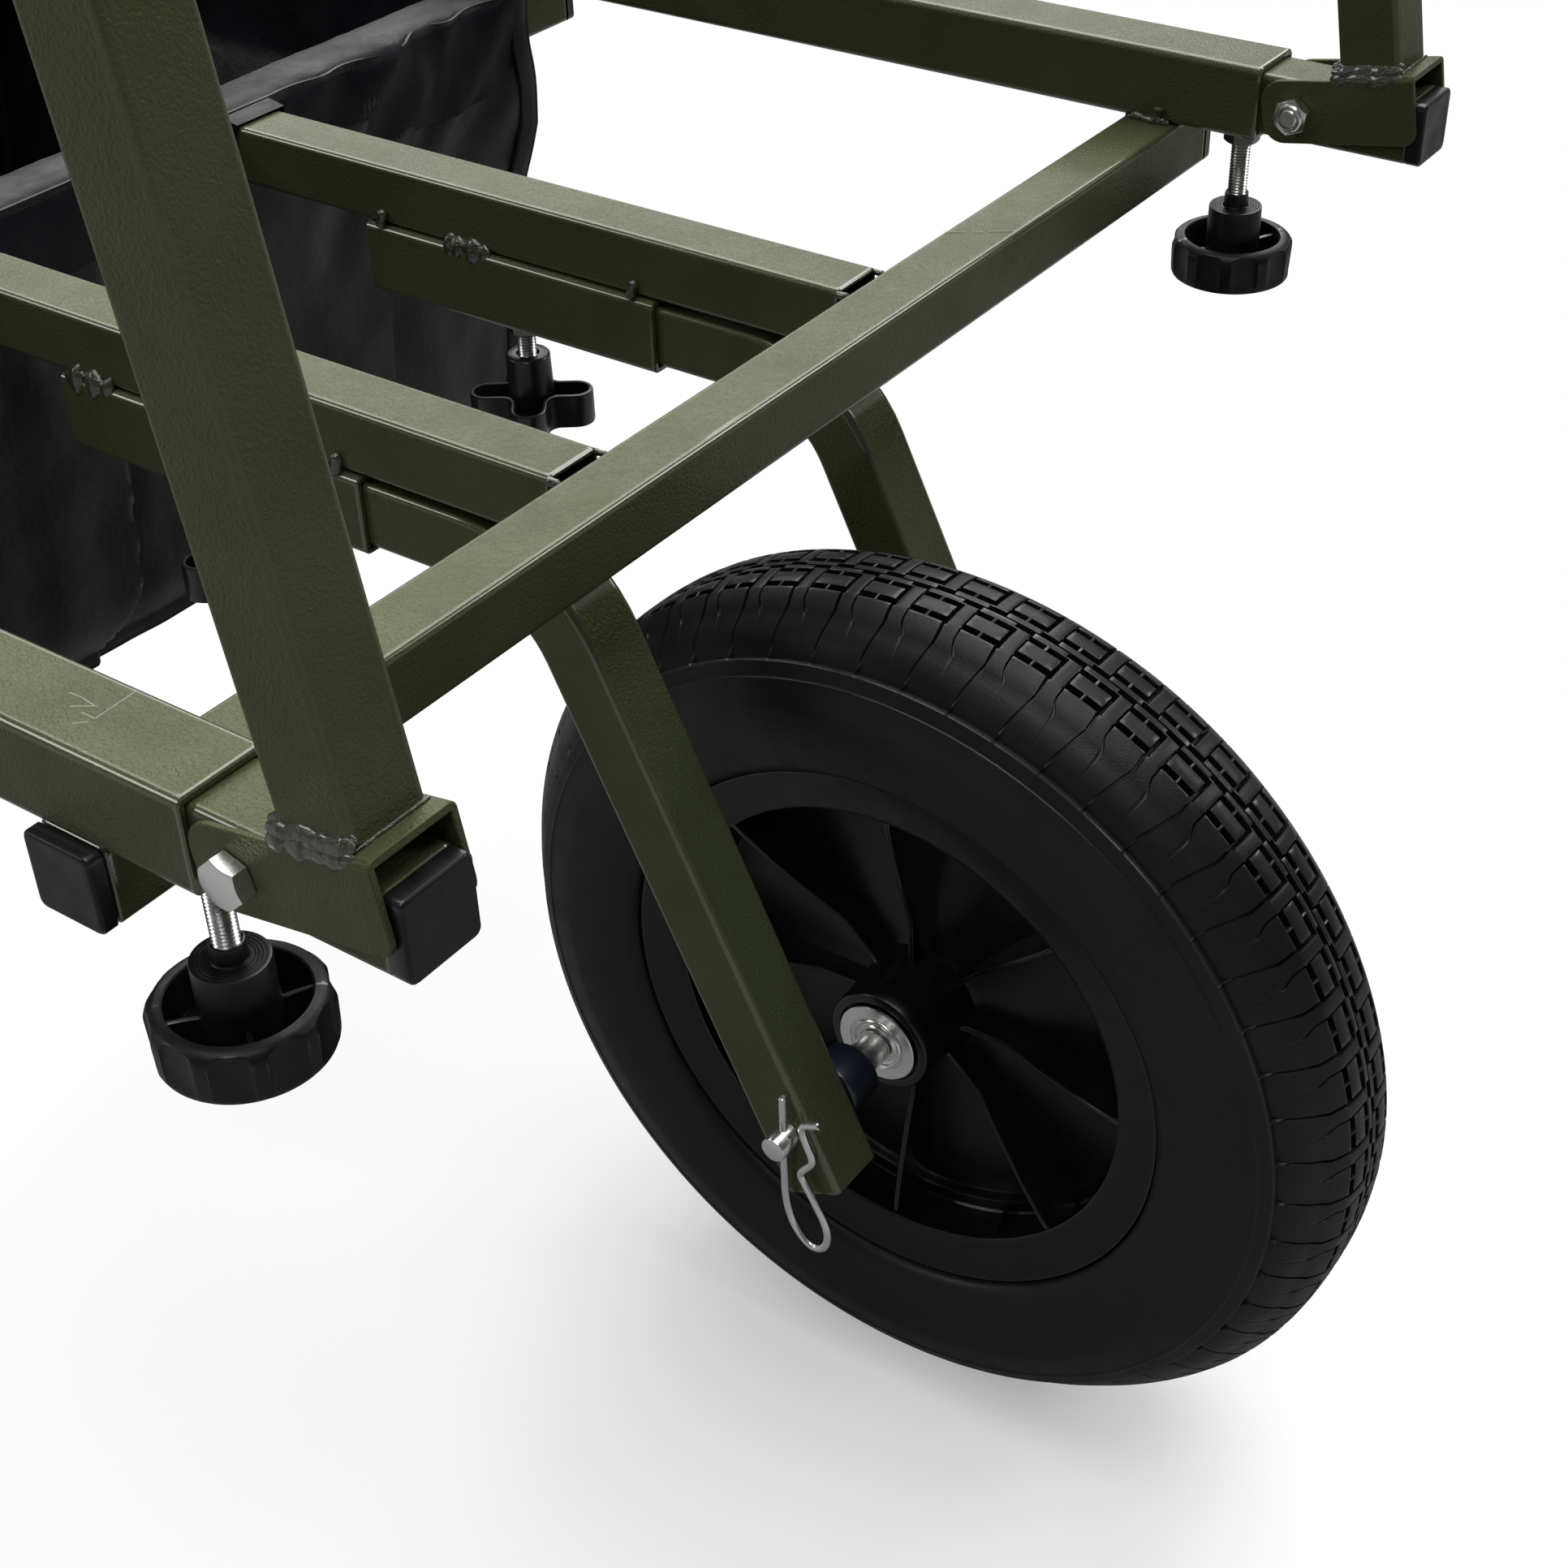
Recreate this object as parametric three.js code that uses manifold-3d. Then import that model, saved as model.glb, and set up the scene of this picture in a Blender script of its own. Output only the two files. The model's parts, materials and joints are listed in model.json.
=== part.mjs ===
// A single-wheel fishing trolley: a square-tube deck with a sliding front, a folding
// front hoop, a plug-in wheel fork, telescopic handles and rear legs, and a bag below.
// Millimetres, +Z up, +X towards the wheel, +Y to the trolley's left.
import * as THREE from "three";
import { mergeVertices } from "three/addons/utils/BufferGeometryUtils.js";
import Module from "manifold-3d";

const wasm = await Module();
wasm.setup();

// Clearances
const gap = 0.3; // between pieces that touch, and round a turning pin
const slideGap = 0.5; // between a sliding tube and the tube round it
const overrun = 2; // how far a cutting tool runs past the face it cuts
const weldTolerance = 0.001;

// Square tubes
const railSize = 30;
const railWall = 2;
const railCorner = 3;
const tubeSize = railSize - 2 * (railWall + slideGap);
const tubeWall = 1.5;
const tubeCorner = 2.5;

// Wheel
const tyreRadius = 181;
const tyreHalfWidth = 42.4;
const axleX = 57.5; // ahead of the front crossbar's front face
const axleDrop = 242; // below the deck
const rimHubHalf = 36;

// Deck: the height where the side rails rest on the crossbars
const deckZ = tyreRadius + axleDrop;
const railHalfSpan = 291;
const railFrontX = 35;
const railRearX = -800;
const crossbarFronts = { front: 0, mid: -350, rear: -720 };
const crossbarPastRail = 13.5; // beyond the middle of a side rail
const crossbarHalf = railHalfSpan + crossbarPastRail;
const innerHalfSpan = 82;
const innerRailGap = 4; // left open to the front crossbar and bridged by welds
const weldSize = 5;

// End caps and plugs
const capHead = 5;
const capStandoff = 1.2;
const capEdge = 1;
const plugHead = 6;
const plugEdge = 2;
const stemLength = 18;

// Fork
const socketFrontX = -114;
const socketLength = 150;
const legBendRadius = 50;
const legLean = 25.5; // degrees from upright
const legPastAxle = 28;
const legSetback = 2; // its centre line behind the axle
const legInSocket = 140;
const pinRadius = 5;
const pinTail = 10.5;
const pinHeadRadius = 8.5;
const pinHeadThick = 4;

// Folding front hoop
const pivotX = 51.5;
const pivotZ = deckZ + railSize / 2;
const hoopLean = 10; // degrees back from upright as it stands
const hoopHeight = 300; // top bar above the pivot
const hoopCorner = 60;
const uprightAhead = 31; // of the pivot
const plateThick = 2.2;
const plateSideGap = 0.4;
const plateRear = 14.5;
const plateFront = 50;
const plateDrop = 12;
const plateRearCorner = 9;
const plateFrontCorner = 5;
const webBehindUpright = 2;
const frontTubeX = 98;
const frontTubeLength = 418;

// Screws, nuts and knobs
const screwRadius = 4;
const nutAcross = 13;
const nutThick = 6.5;
const headThick = 5.3;
const ringClampX = 23;
const forkClampX = -194;
const forkScrewRoom = 1.2; // the fork clamps stand a turn loose
const handleClampInset = 18; // ahead of the side rail's rear end
const handleClampX = railRearX + handleClampInset;
const legClampDrop = 104;

// Handles
const handleEndX = -1090;
const handleLength = 530;
const gripLength = 130;
const gripWall = 4;

// Rear legs
const legInset = 160; // ahead of the side rail's rear end
const legX = railRearX + legInset;
const legSocketLength = 130;
const legHead = 8; // free space over the leg inside its socket
const footRadius = 42;
const footThick = 6;
const footCollar = 14;

// Bag
const bagWall = 2.5;
const bagRailRoom = 3;
const bagHalfTop = railHalfSpan - railSize / 2 - bagRailRoom;
const bagNarrowing = 33; // from the top to the bottom, on each side
const bagHalfBottom = bagHalfTop - bagNarrowing;
const bagDepth = 212;
const bagCorner = 34;
const bagTuck = 12; // how far the bottom edge is drawn in at the front and rear
const bagNotchRoom = 7; // below the inner rails, where they pass the front panel

// The frame stands with its middle over the origin
const originX = (axleX + tyreRadius + handleEndX - gripWall) / 2;

const coat = new THREE.MeshStandardMaterial({ color: 0x4c5140, roughness: 0.42, metalness: 0.25 });
const zinc = new THREE.MeshStandardMaterial({ color: 0xc4c8c6, roughness: 0.3, metalness: 0.9 });
const blackPlastic = new THREE.MeshStandardMaterial({ color: 0x17181a, roughness: 0.45, metalness: 0 });
const rimPlastic = new THREE.MeshStandardMaterial({ color: 0x121314, roughness: 0.5, metalness: 0 });
const tyreRubber = new THREE.MeshStandardMaterial({ color: 0x1b1c1e, roughness: 0.62, metalness: 0 });
const gripRubber = new THREE.MeshStandardMaterial({ color: 0x141414, roughness: 0.8, metalness: 0 });
const bagCloth = new THREE.MeshStandardMaterial({ color: 0x1c1d20, roughness: 0.6, metalness: 0 });

const trolley = new THREE.Group();
trolley.position.x = -originX;

// Solids

function solid(geometry) {
  const bare = geometry.clone();
  bare.deleteAttribute("normal");
  bare.deleteAttribute("uv");
  const welded = mergeVertices(bare, weldTolerance);
  const index = welded.index.array;
  const kept = [];
  for (let i = 0; i < index.length; i += 3) {
    const [a, b, c] = [index[i], index[i + 1], index[i + 2]];
    if (a !== b && b !== c && c !== a) kept.push(a, b, c);
  }
  return new wasm.Manifold(
    new wasm.Mesh({
      numProp: 3,
      vertProperties: welded.attributes.position.array,
      triVerts: new Uint32Array(kept),
    }),
  );
}

function surface(body) {
  const made = body.getMesh();
  const geometry = new THREE.BufferGeometry();
  geometry.setAttribute("position", new THREE.BufferAttribute(made.vertProperties, made.numProp));
  geometry.setIndex(new THREE.BufferAttribute(made.triVerts, 1));
  geometry.computeVertexNormals();
  return geometry;
}

function place(group, name, body, material, x = 0, y = 0, z = 0) {
  const mesh = new THREE.Mesh(surface(body), material);
  mesh.name = name;
  mesh.position.set(x, y, z);
  group.add(mesh);
  return mesh;
}

function joined(bodies) {
  return bodies.reduce((all, body) => all.add(body));
}

function block(from, to) {
  const size = new THREE.Vector3().subVectors(to, from);
  const geometry = new THREE.BoxGeometry(size.x, size.y, size.z);
  const middle = new THREE.Vector3().addVectors(from, to).multiplyScalar(1 / 2);
  geometry.translate(middle.x, middle.y, middle.z);
  return solid(geometry);
}

// Turns a shape drawn along +Z to lie along another axis.
function along(geometry, axis) {
  if (axis === "x") geometry.rotateY(Math.PI / 2);
  if (axis === "y") geometry.rotateX(-Math.PI / 2);
  return geometry;
}

// A round bar from one height to another along an axis.
function bar(radius, from, to, axis = "z", sides = 12) {
  const geometry = new THREE.CylinderGeometry(radius, radius, to - from, sides);
  geometry.rotateX(Math.PI / 2);
  geometry.translate(0, 0, (from + to) / 2);
  return solid(along(geometry, axis));
}

// A hexagon prism, as a bolt head or a nut.
function hexagon(across, from, to, axis = "z") {
  return bar(across / Math.sqrt(3), from, to, axis, 6);
}

// A closed section as points in the order that turns its faces outwards.
function sectionLoop(profile) {
  const points = profile.map(([radius, height]) => new THREE.Vector2(radius, height));
  if (THREE.ShapeUtils.area(points) < 0) points.reverse();
  points.push(points[0].clone());
  return points;
}

// A section of radii and heights turned about the Y axis.
function turned(profile, columns) {
  return solid(new THREE.LatheGeometry(sectionLoop(profile), columns));
}

// Square tubes

function squareOutline(size, corner) {
  const flat = size / 2 - corner;
  const outline = new THREE.Shape();
  outline.absarc(flat, -flat, corner, -Math.PI / 2, 0, false);
  outline.absarc(flat, flat, corner, 0, Math.PI / 2, false);
  outline.absarc(-flat, flat, corner, Math.PI / 2, Math.PI, false);
  outline.absarc(-flat, -flat, corner, Math.PI, (3 * Math.PI) / 2, false);
  outline.closePath();
  return outline;
}

// A tube's section: rounded outside, with the tight inside corners of a rolled tube.
function tubeOutline(size, wall, corner) {
  const outline = squareOutline(size, corner);
  const inside = size / 2 - wall;
  const hole = new THREE.Path();
  hole.moveTo(-inside, -inside);
  hole.lineTo(-inside, inside);
  hole.lineTo(inside, inside);
  hole.lineTo(inside, -inside);
  hole.closePath();
  outline.holes.push(hole);
  return outline;
}

function straightTube(size, wall, corner, from, to, axis) {
  const options = { depth: to - from, bevelEnabled: false, curveSegments: 1 };
  const geometry = new THREE.ExtrudeGeometry(tubeOutline(size, wall, corner), options);
  geometry.translate(0, 0, from);
  return solid(along(geometry, axis));
}

function squareBar(size, corner, from, to, axis) {
  const options = { depth: to - from, bevelEnabled: false, curveSegments: 1 };
  const geometry = new THREE.ExtrudeGeometry(squareOutline(size, corner), options);
  geometry.translate(0, 0, from);
  return solid(along(geometry, axis));
}

// A path of straight runs and bends, with a station only where its direction changes.
class Route extends THREE.Curve {
  constructor(stations) {
    super();
    this.stations = stations;
  }
  getPointAt(share) {
    const last = this.stations.length - 1;
    return this.stations[Math.round(share * last)].point.clone();
  }
  getTangentAt(share) {
    const last = this.stations.length - 1;
    return this.stations[Math.round(share * last)].tangent.clone();
  }
  getPoint(share) {
    return this.getPointAt(share);
  }
}

const bendSteps = 5;

// A route through corner points, each corner rounded to a radius.
function bentRoute(corners, radius) {
  const stations = [];
  const last = corners.length - 1;
  for (let i = 0; i <= last; i += 1) {
    const into = corners[i].clone().sub(corners[Math.max(i - 1, 0)]).normalize();
    const out = corners[Math.min(i + 1, last)].clone().sub(corners[i]).normalize();
    if (i === 0 || i === last) {
      stations.push({ point: corners[i], tangent: i === 0 ? out : into });
      continue;
    }
    const turn = into.angleTo(out);
    const inward = out.clone().sub(into).normalize();
    const centre = corners[i].clone().addScaledVector(inward, radius / Math.cos(turn / 2));
    const pin = new THREE.Vector3().crossVectors(into, out).normalize();
    const start = corners[i].clone().addScaledVector(into, -radius * Math.tan(turn / 2));
    for (let step = 0; step <= bendSteps; step += 1) {
      const angle = (turn * step) / bendSteps;
      const point = start.clone().sub(centre).applyAxisAngle(pin, angle).add(centre);
      stations.push({ point, tangent: into.clone().applyAxisAngle(pin, angle) });
    }
  }
  return new Route(stations);
}

function swept(outline, route) {
  const options = { steps: route.stations.length - 1, extrudePath: route, curveSegments: 1 };
  return solid(new THREE.ExtrudeGeometry(outline, options));
}

// A bar with a slanted edge round its far end, as on a moulded cap or plug.
function edgedBar(size, corner, length, edge, axis) {
  const options = {
    depth: length - edge,
    bevelThickness: edge,
    bevelSize: edge,
    bevelOffset: -edge,
    bevelSegments: 1,
    curveSegments: 1,
  };
  const geometry = new THREE.ExtrudeGeometry(squareOutline(size, corner), options);
  const behind = block(new THREE.Vector3(-size, -size, -length), new THREE.Vector3(size, size, 0));
  const body = solid(geometry).subtract(behind);
  return axis === "z" ? body : body.rotate(axis === "y" ? [-90, 0, 0] : [0, 90, 0]);
}

// A moulded stem that holds a cap or plug inside a tube.
const stemSize = tubeSize - 2 * (tubeWall + gap);
function stem(from, to, axis) {
  return squareBar(stemSize, tubeCorner - tubeWall, from, to, axis);
}

// End cap: a square head that stands a little off its tube, on a stem.
function endCap() {
  const head = edgedBar(tubeSize, tubeCorner, capHead, capEdge, "y").translate([0, capStandoff, 0]);
  return head.add(stem(-stemLength, capStandoff + capEdge, "y"));
}

// Chassis

const sides = [
  ["right", -1],
  ["left", 1],
];

// An outer tube with nuts welded on its low face along an axis, drilled for their screws.
function clampTube(from, to, axis, nutPlaces) {
  const face = -railSize / 2;
  const nutAxis = axis === "x" ? "z" : "x";
  const shift = (place) => (axis === "x" ? [place, 0, 0] : [0, 0, place]);
  const nut = hexagon(nutAcross, face - nutThick, face + railWall / 2, nutAxis);
  const drill = bar(screwRadius + gap, face - nutThick - overrun, face + railWall + overrun, nutAxis);
  const tube = straightTube(railSize, railWall, railCorner, from, to, axis);
  const nuts = nutPlaces.map((place) => nut.translate(shift(place)));
  const holes = nutPlaces.map((place) => drill.translate(shift(place)));
  return joined([tube, ...nuts]).subtract(joined(holes));
}

const railZ = deckZ + railSize / 2;
for (const [side, sign] of sides) {
  const rail = clampTube(railRearX, railFrontX, "x", [ringClampX, handleClampX]);
  place(trolley, `side_rail_${side}`, rail, coat, 0, sign * railHalfSpan, railZ);
}

const crossbarZ = deckZ - tubeSize / 2 - gap;
for (const [where, front] of Object.entries(crossbarFronts)) {
  const x = front - tubeSize / 2;
  const tube = straightTube(tubeSize, tubeWall, tubeCorner, -crossbarHalf, crossbarHalf, "y");
  place(trolley, `${where}_crossbar`, tube, coat, x, 0, crossbarZ);
  for (const [side, sign] of sides) {
    const mesh = place(trolley, `${where}_crossbar_cap_${side}`, endCap(), blackPlastic);
    mesh.position.set(x, sign * crossbarHalf, crossbarZ);
    mesh.rotation.z = sign > 0 ? 0 : Math.PI;
  }
}

// An inner rail butts on the middle crossbar; two weld nibs reach the front one.
function innerRail() {
  const rear = crossbarFronts.mid + gap;
  const front = crossbarFronts.front - tubeSize - innerRailGap;
  const rail = straightTube(tubeSize, tubeWall, tubeCorner, rear, front, "x");
  const nib = block(
    new THREE.Vector3(front - weldSize, -weldSize / 4, -weldSize / 2),
    new THREE.Vector3(front + innerRailGap - gap, weldSize / 4, weldSize / 2),
  );
  return joined([rail, nib.translate([0, -tubeSize / 2, 0]), nib.translate([0, tubeSize / 2, 0])]);
}

const socketZ = deckZ - tubeSize - 2 * gap - railSize / 2;
for (const [side, sign] of sides) {
  place(trolley, `inner_rail_${side}`, innerRail(), coat, 0, sign * innerHalfSpan, crossbarZ);
  const socket = clampTube(socketFrontX - socketLength, socketFrontX, "x", [forkClampX]);
  place(trolley, `fork_socket_${side}`, socket, coat, 0, sign * innerHalfSpan, socketZ);
}

// Leg sockets hang under the side rails, with their clamp nuts on the rear faces.
for (const [side, sign] of sides) {
  const socket = clampTube(-legSocketLength, 0, "z", [-legClampDrop]);
  place(trolley, `leg_socket_${side}`, socket, coat, legX, sign * railHalfSpan, deckZ - gap);
}

// Sliding front tubes with their plugs, and the bolts that the hoop turns on

function frontTube() {
  const tube = straightTube(tubeSize, tubeWall, tubeCorner, frontTubeX - frontTubeLength, frontTubeX, "x");
  const bore = bar(screwRadius + gap, -tubeSize, tubeSize, "y").translate([pivotX, 0, 0]);
  return tube.subtract(bore);
}

function frontPlug() {
  const head = edgedBar(tubeSize, tubeCorner, plugHead, plugEdge, "x").translate([gap, 0, 0]);
  return head.add(stem(-stemLength, plugEdge, "x"));
}

const plateInner = tubeSize / 2 + plateSideGap;
const plateOuter = plateInner + plateThick;

// The bolt runs from its head outside the bracket to its lock nut on the inner side.
function pivotBolt(sign) {
  const shankEnd = plateOuter + nutThick + gap;
  const shank = bar(screwRadius, -shankEnd, plateOuter + headThick, "y");
  const head = hexagon(nutAcross, plateOuter + gap, plateOuter + gap + headThick, "y");
  const bolt = head.add(shank);
  return sign > 0 ? bolt : bolt.rotate([0, 0, 180]);
}

function lockNut(sign) {
  const from = plateOuter + gap;
  const body = hexagon(nutAcross, from, from + nutThick, "y");
  const bore = bar(screwRadius + gap / 2, from - overrun, from + nutThick + overrun, "y");
  const nut = body.subtract(bore);
  return sign > 0 ? nut.rotate([0, 0, 180]) : nut;
}

for (const [side, sign] of sides) {
  const y = sign * railHalfSpan;
  place(trolley, `front_tube_${side}`, frontTube(), coat, 0, y, railZ);
  place(trolley, `front_plug_${side}`, frontPlug(), blackPlastic, frontTubeX, y, railZ);
  place(trolley, `pivot_bolt_${side}`, pivotBolt(sign), zinc, pivotX, y, pivotZ);
  place(trolley, `pivot_nut_${side}`, lockNut(sign), zinc, pivotX, y, pivotZ);
}

// Folding hoop: two saddle brackets and one bent tube, drawn upright about the pivot

const hoop = new THREE.Group();
hoop.position.set(pivotX, 0, pivotZ);
hoop.rotation.y = THREE.MathUtils.degToRad(-hoopLean);
trolley.add(hoop);

const webUnder = tubeSize / 2 + gap;
const webTop = webUnder + plateThick;

function plateSide() {
  const top = webUnder + plateThick / 4;
  const outline = new THREE.Shape();
  outline.moveTo(-plateRear + plateRearCorner, -plateDrop);
  outline.lineTo(plateFront - plateFrontCorner, -plateDrop);
  outline.absarc(
    plateFront - plateFrontCorner,
    plateFrontCorner - plateDrop,
    plateFrontCorner,
    -Math.PI / 2,
    0,
    false,
  );
  outline.lineTo(plateFront, top);
  outline.lineTo(-plateRear + plateRearCorner, top);
  outline.absarc(
    plateRearCorner - plateRear,
    top - plateRearCorner,
    plateRearCorner,
    Math.PI / 2,
    Math.PI,
    false,
  );
  outline.absarc(
    plateRearCorner - plateRear,
    plateRearCorner - plateDrop,
    plateRearCorner,
    Math.PI,
    (3 * Math.PI) / 2,
    false,
  );
  return outline;
}

// Bent steel saddle: two ears beside the front tube and a web ahead of the pivot.
function hoopBracket() {
  const earOptions = { depth: plateThick, bevelEnabled: false, curveSegments: 2 };
  const ear = solid(new THREE.ExtrudeGeometry(plateSide(), earOptions).rotateX(Math.PI / 2));
  const near = ear.translate([0, -plateInner, 0]);
  const far = ear.translate([0, plateOuter, 0]);
  const webRear = uprightAhead - tubeSize / 2 - webBehindUpright;
  const web = new THREE.Shape();
  web.absarc(plateOuter - plateThick, webTop - plateThick, plateThick, 0, Math.PI / 2, false);
  web.absarc(plateThick - plateOuter, webTop - plateThick, plateThick, Math.PI / 2, Math.PI, false);
  web.closePath();
  const webOptions = { depth: plateFront - webRear, bevelEnabled: false, curveSegments: 2 };
  const webGeometry = new THREE.ExtrudeGeometry(web, webOptions);
  webGeometry.rotateX(Math.PI / 2).rotateZ(Math.PI / 2).translate(webRear, 0, 0);
  const bore = bar(screwRadius + gap, -plateOuter - overrun, plateOuter + overrun, "y");
  return joined([near, far, solid(webGeometry)]).subtract(bore);
}

function hoopTube() {
  const foot = webTop + gap;
  const corners = [
    new THREE.Vector3(0, -railHalfSpan, foot),
    new THREE.Vector3(0, -railHalfSpan, hoopHeight),
    new THREE.Vector3(0, railHalfSpan, hoopHeight),
    new THREE.Vector3(0, railHalfSpan, foot),
  ];
  return swept(tubeOutline(tubeSize, tubeWall, tubeCorner), bentRoute(corners, hoopCorner));
}

place(hoop, "hoop_tube", hoopTube(), coat, uprightAhead, 0, 0);
for (const [side, sign] of sides) {
  place(hoop, `hoop_bracket_${side}`, hoopBracket(), coat, 0, sign * railHalfSpan, 0);
}

// Fork: two bent legs, the axle pin, its clip and two spacers

const legDown = THREE.MathUtils.degToRad(90 - legLean);
const legDirection = new THREE.Vector3(Math.cos(legDown), 0, -Math.sin(legDown));

function forkLeg() {
  const besideAxle = new THREE.Vector3(axleX - legSetback, 0, tyreRadius);
  const bendX = besideAxle.x - (socketZ - tyreRadius) / Math.tan(legDown);
  const corners = [
    new THREE.Vector3(socketFrontX - legInSocket, 0, socketZ),
    new THREE.Vector3(bendX, 0, socketZ),
    besideAxle.clone().addScaledVector(legDirection, legPastAxle),
  ];
  const tube = swept(tubeOutline(tubeSize, tubeWall, tubeCorner), bentRoute(corners, legBendRadius));
  const bore = bar(pinRadius + gap, -tubeSize, tubeSize, "y").translate([axleX, 0, tyreRadius]);
  return tube.subtract(bore);
}

for (const [side, sign] of sides) {
  place(trolley, `fork_leg_${side}`, forkLeg(), coat, 0, sign * innerHalfSpan, 0);
}

const legOuter = innerHalfSpan + tubeSize / 2;
const legInner = innerHalfSpan - tubeSize / 2;
const wireRadius = 1.5;
const clipY = legOuter + 2 * wireRadius + gap;

function axlePin() {
  const pinEnd = -legOuter - pinTail;
  const shank = bar(pinRadius, pinEnd, legOuter + gap + pinHeadThick / 2, "y", 20);
  const head = bar(pinHeadRadius, legOuter + gap, legOuter + gap + pinHeadThick, "y", 20);
  const cross = bar(wireRadius + gap, -2 * pinRadius, 2 * pinRadius, "z", 8);
  return shank.add(head).subtract(cross.translate([0, -clipY, 0]));
}

place(trolley, "axle_pin", axlePin(), zinc, axleX, 0, tyreRadius);

// R-clip: a straight prong through the pin, a loop below it and a waved prong round it.
const clipReach = 50;
const wave = (pinRadius + wireRadius + 2 * gap) / clipReach;
const clipRouteShares = [
  [0, 0.42],
  [0, 0.1],
  [0, -0.3],
  [0, -0.62],
  [0.07, -0.87],
  [0.22, -0.99],
  [0.37, -0.88],
  [0.35, -0.68],
  [wave + 0.06, -0.34],
  [wave * 1.1, 0.02],
  [wave * 0.96, 0.16],
  [wave + 0.14, 0.27],
];

function rClip() {
  const points = clipRouteShares.map(([x, z]) => new THREE.Vector3(x * clipReach, 0, z * clipReach));
  const wire = new THREE.Shape();
  wire.absarc(0, 0, wireRadius, 0, 2 * Math.PI, false);
  const options = { steps: 24, extrudePath: new THREE.CatmullRomCurve3(points), curveSegments: 3 };
  return solid(new THREE.ExtrudeGeometry(wire, options));
}

place(trolley, "axle_clip", rClip(), zinc, axleX, -clipY, tyreRadius);

const bearingFace = rimHubHalf + gap;
const bearingFlange = 1.5;
const bearingFlangeRadius = 16.5;
const bearingRadius = 13;
const bearingDepth = 14;
const bushLength = 16;
const bushRadius = 12;
const sleeveRadius = 7.5;

// A bush beside the leg steps down to a sleeve that meets the wheel bearing.
function axleSpacer() {
  const bore = pinRadius + gap;
  const from = bearingFace + bearingFlange + gap;
  const to = legInner - gap;
  const step = to - bushLength;
  const profile = [
    [bore, from],
    [sleeveRadius, from],
    [sleeveRadius, step],
    [bushRadius, step],
    [bushRadius, to],
    [bore, to],
  ];
  return turned(profile, 16);
}

for (const [side, sign] of sides) {
  const mesh = place(trolley, `axle_spacer_${side}`, axleSpacer(), blackPlastic, axleX, 0, tyreRadius);
  mesh.rotation.z = sign > 0 ? 0 : Math.PI;
}

// Wheel

const wheel = new THREE.Group();
wheel.position.set(axleX, 0, tyreRadius);
trolley.add(wheel);

const flangeRadius = 115.5;
const flangeHalf = 32.5;
const flangeInner = 27;
const seatRadius = 105;
const barrelRadius = 101;
const lipRadius = 97.4;
const lipHalf = 28.5;
const barrelHalf = 22;
const discHalf = 3;
const ledgeRadius = 95; // of the step round the bottom of the barrel
const ledgeHalf = 8;
const bossRadius = 21.2; // at its face, spreading to its foot
const bossFoot = 22.6;
const finCount = 8;
const finTurn = -1.5; // degrees that the first fin is turned from straight ahead
const finThick = 2.4;
const finFootHalf = 13;
const finKinkRadius = 45; // where its edge starts to rise to the lip

// Rim: stepped barrel, flat lips, centre disc and boss in one revolved section, with radial fins
// on both faces whose edges lie deep round the boss and rise to the lip.
function rim() {
  const half = [
    [bearingRadius, rimHubHalf],
    [bossRadius, rimHubHalf],
    [bossFoot, discHalf],
    [ledgeRadius, discHalf],
    [ledgeRadius, ledgeHalf],
    [barrelRadius, ledgeHalf],
    [barrelRadius, barrelHalf],
    [lipRadius, lipHalf],
    [flangeRadius, flangeHalf],
    [flangeRadius, flangeInner],
    [seatRadius, flangeInner],
  ];
  const mirrored = half.map(([radius, y]) => [radius, -y]).reverse();
  const body = turned([...half, ...mirrored], 36);
  const fin = new THREE.Shape();
  fin.moveTo(bossRadius, -finFootHalf);
  fin.lineTo(finKinkRadius, -finFootHalf);
  fin.lineTo(barrelRadius + overrun / 2, -lipHalf);
  fin.lineTo(barrelRadius + overrun / 2, lipHalf);
  fin.lineTo(finKinkRadius, finFootHalf);
  fin.lineTo(bossRadius, finFootHalf);
  fin.closePath();
  const finGeometry = new THREE.ExtrudeGeometry(fin, { depth: finThick, bevelEnabled: false });
  finGeometry.translate(0, 0, -finThick / 2);
  const plate = solid(finGeometry);
  const finAngles = Array.from({ length: finCount }, (_, i) => finTurn + (360 * i) / finCount);
  const fins = finAngles.map((angle) => plate.rotate([0, angle, 0]));
  return joined([body, ...fins]);
}

const pitchCount = 32;
const ribHalf = 5;
const grooveHalf = 7.5;
const blockInner = 10;
const blockOuter = 24;
const shoulderGroove = 26.5;
const shoulderInner = 29;
const zigzag = 1.6;
const grooveDepth = 4;
const lugDepth = 3.5;
const shoulderHalf = 37;
const shoulderRadius = 171;
const flankHalf = 41;
const flankRadius = 160;
const sidewallRadius = 145;
const beadBulgeHalf = 39;
const beadBulgeRadius = 124;
const beadHalf = 34.5;

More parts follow.
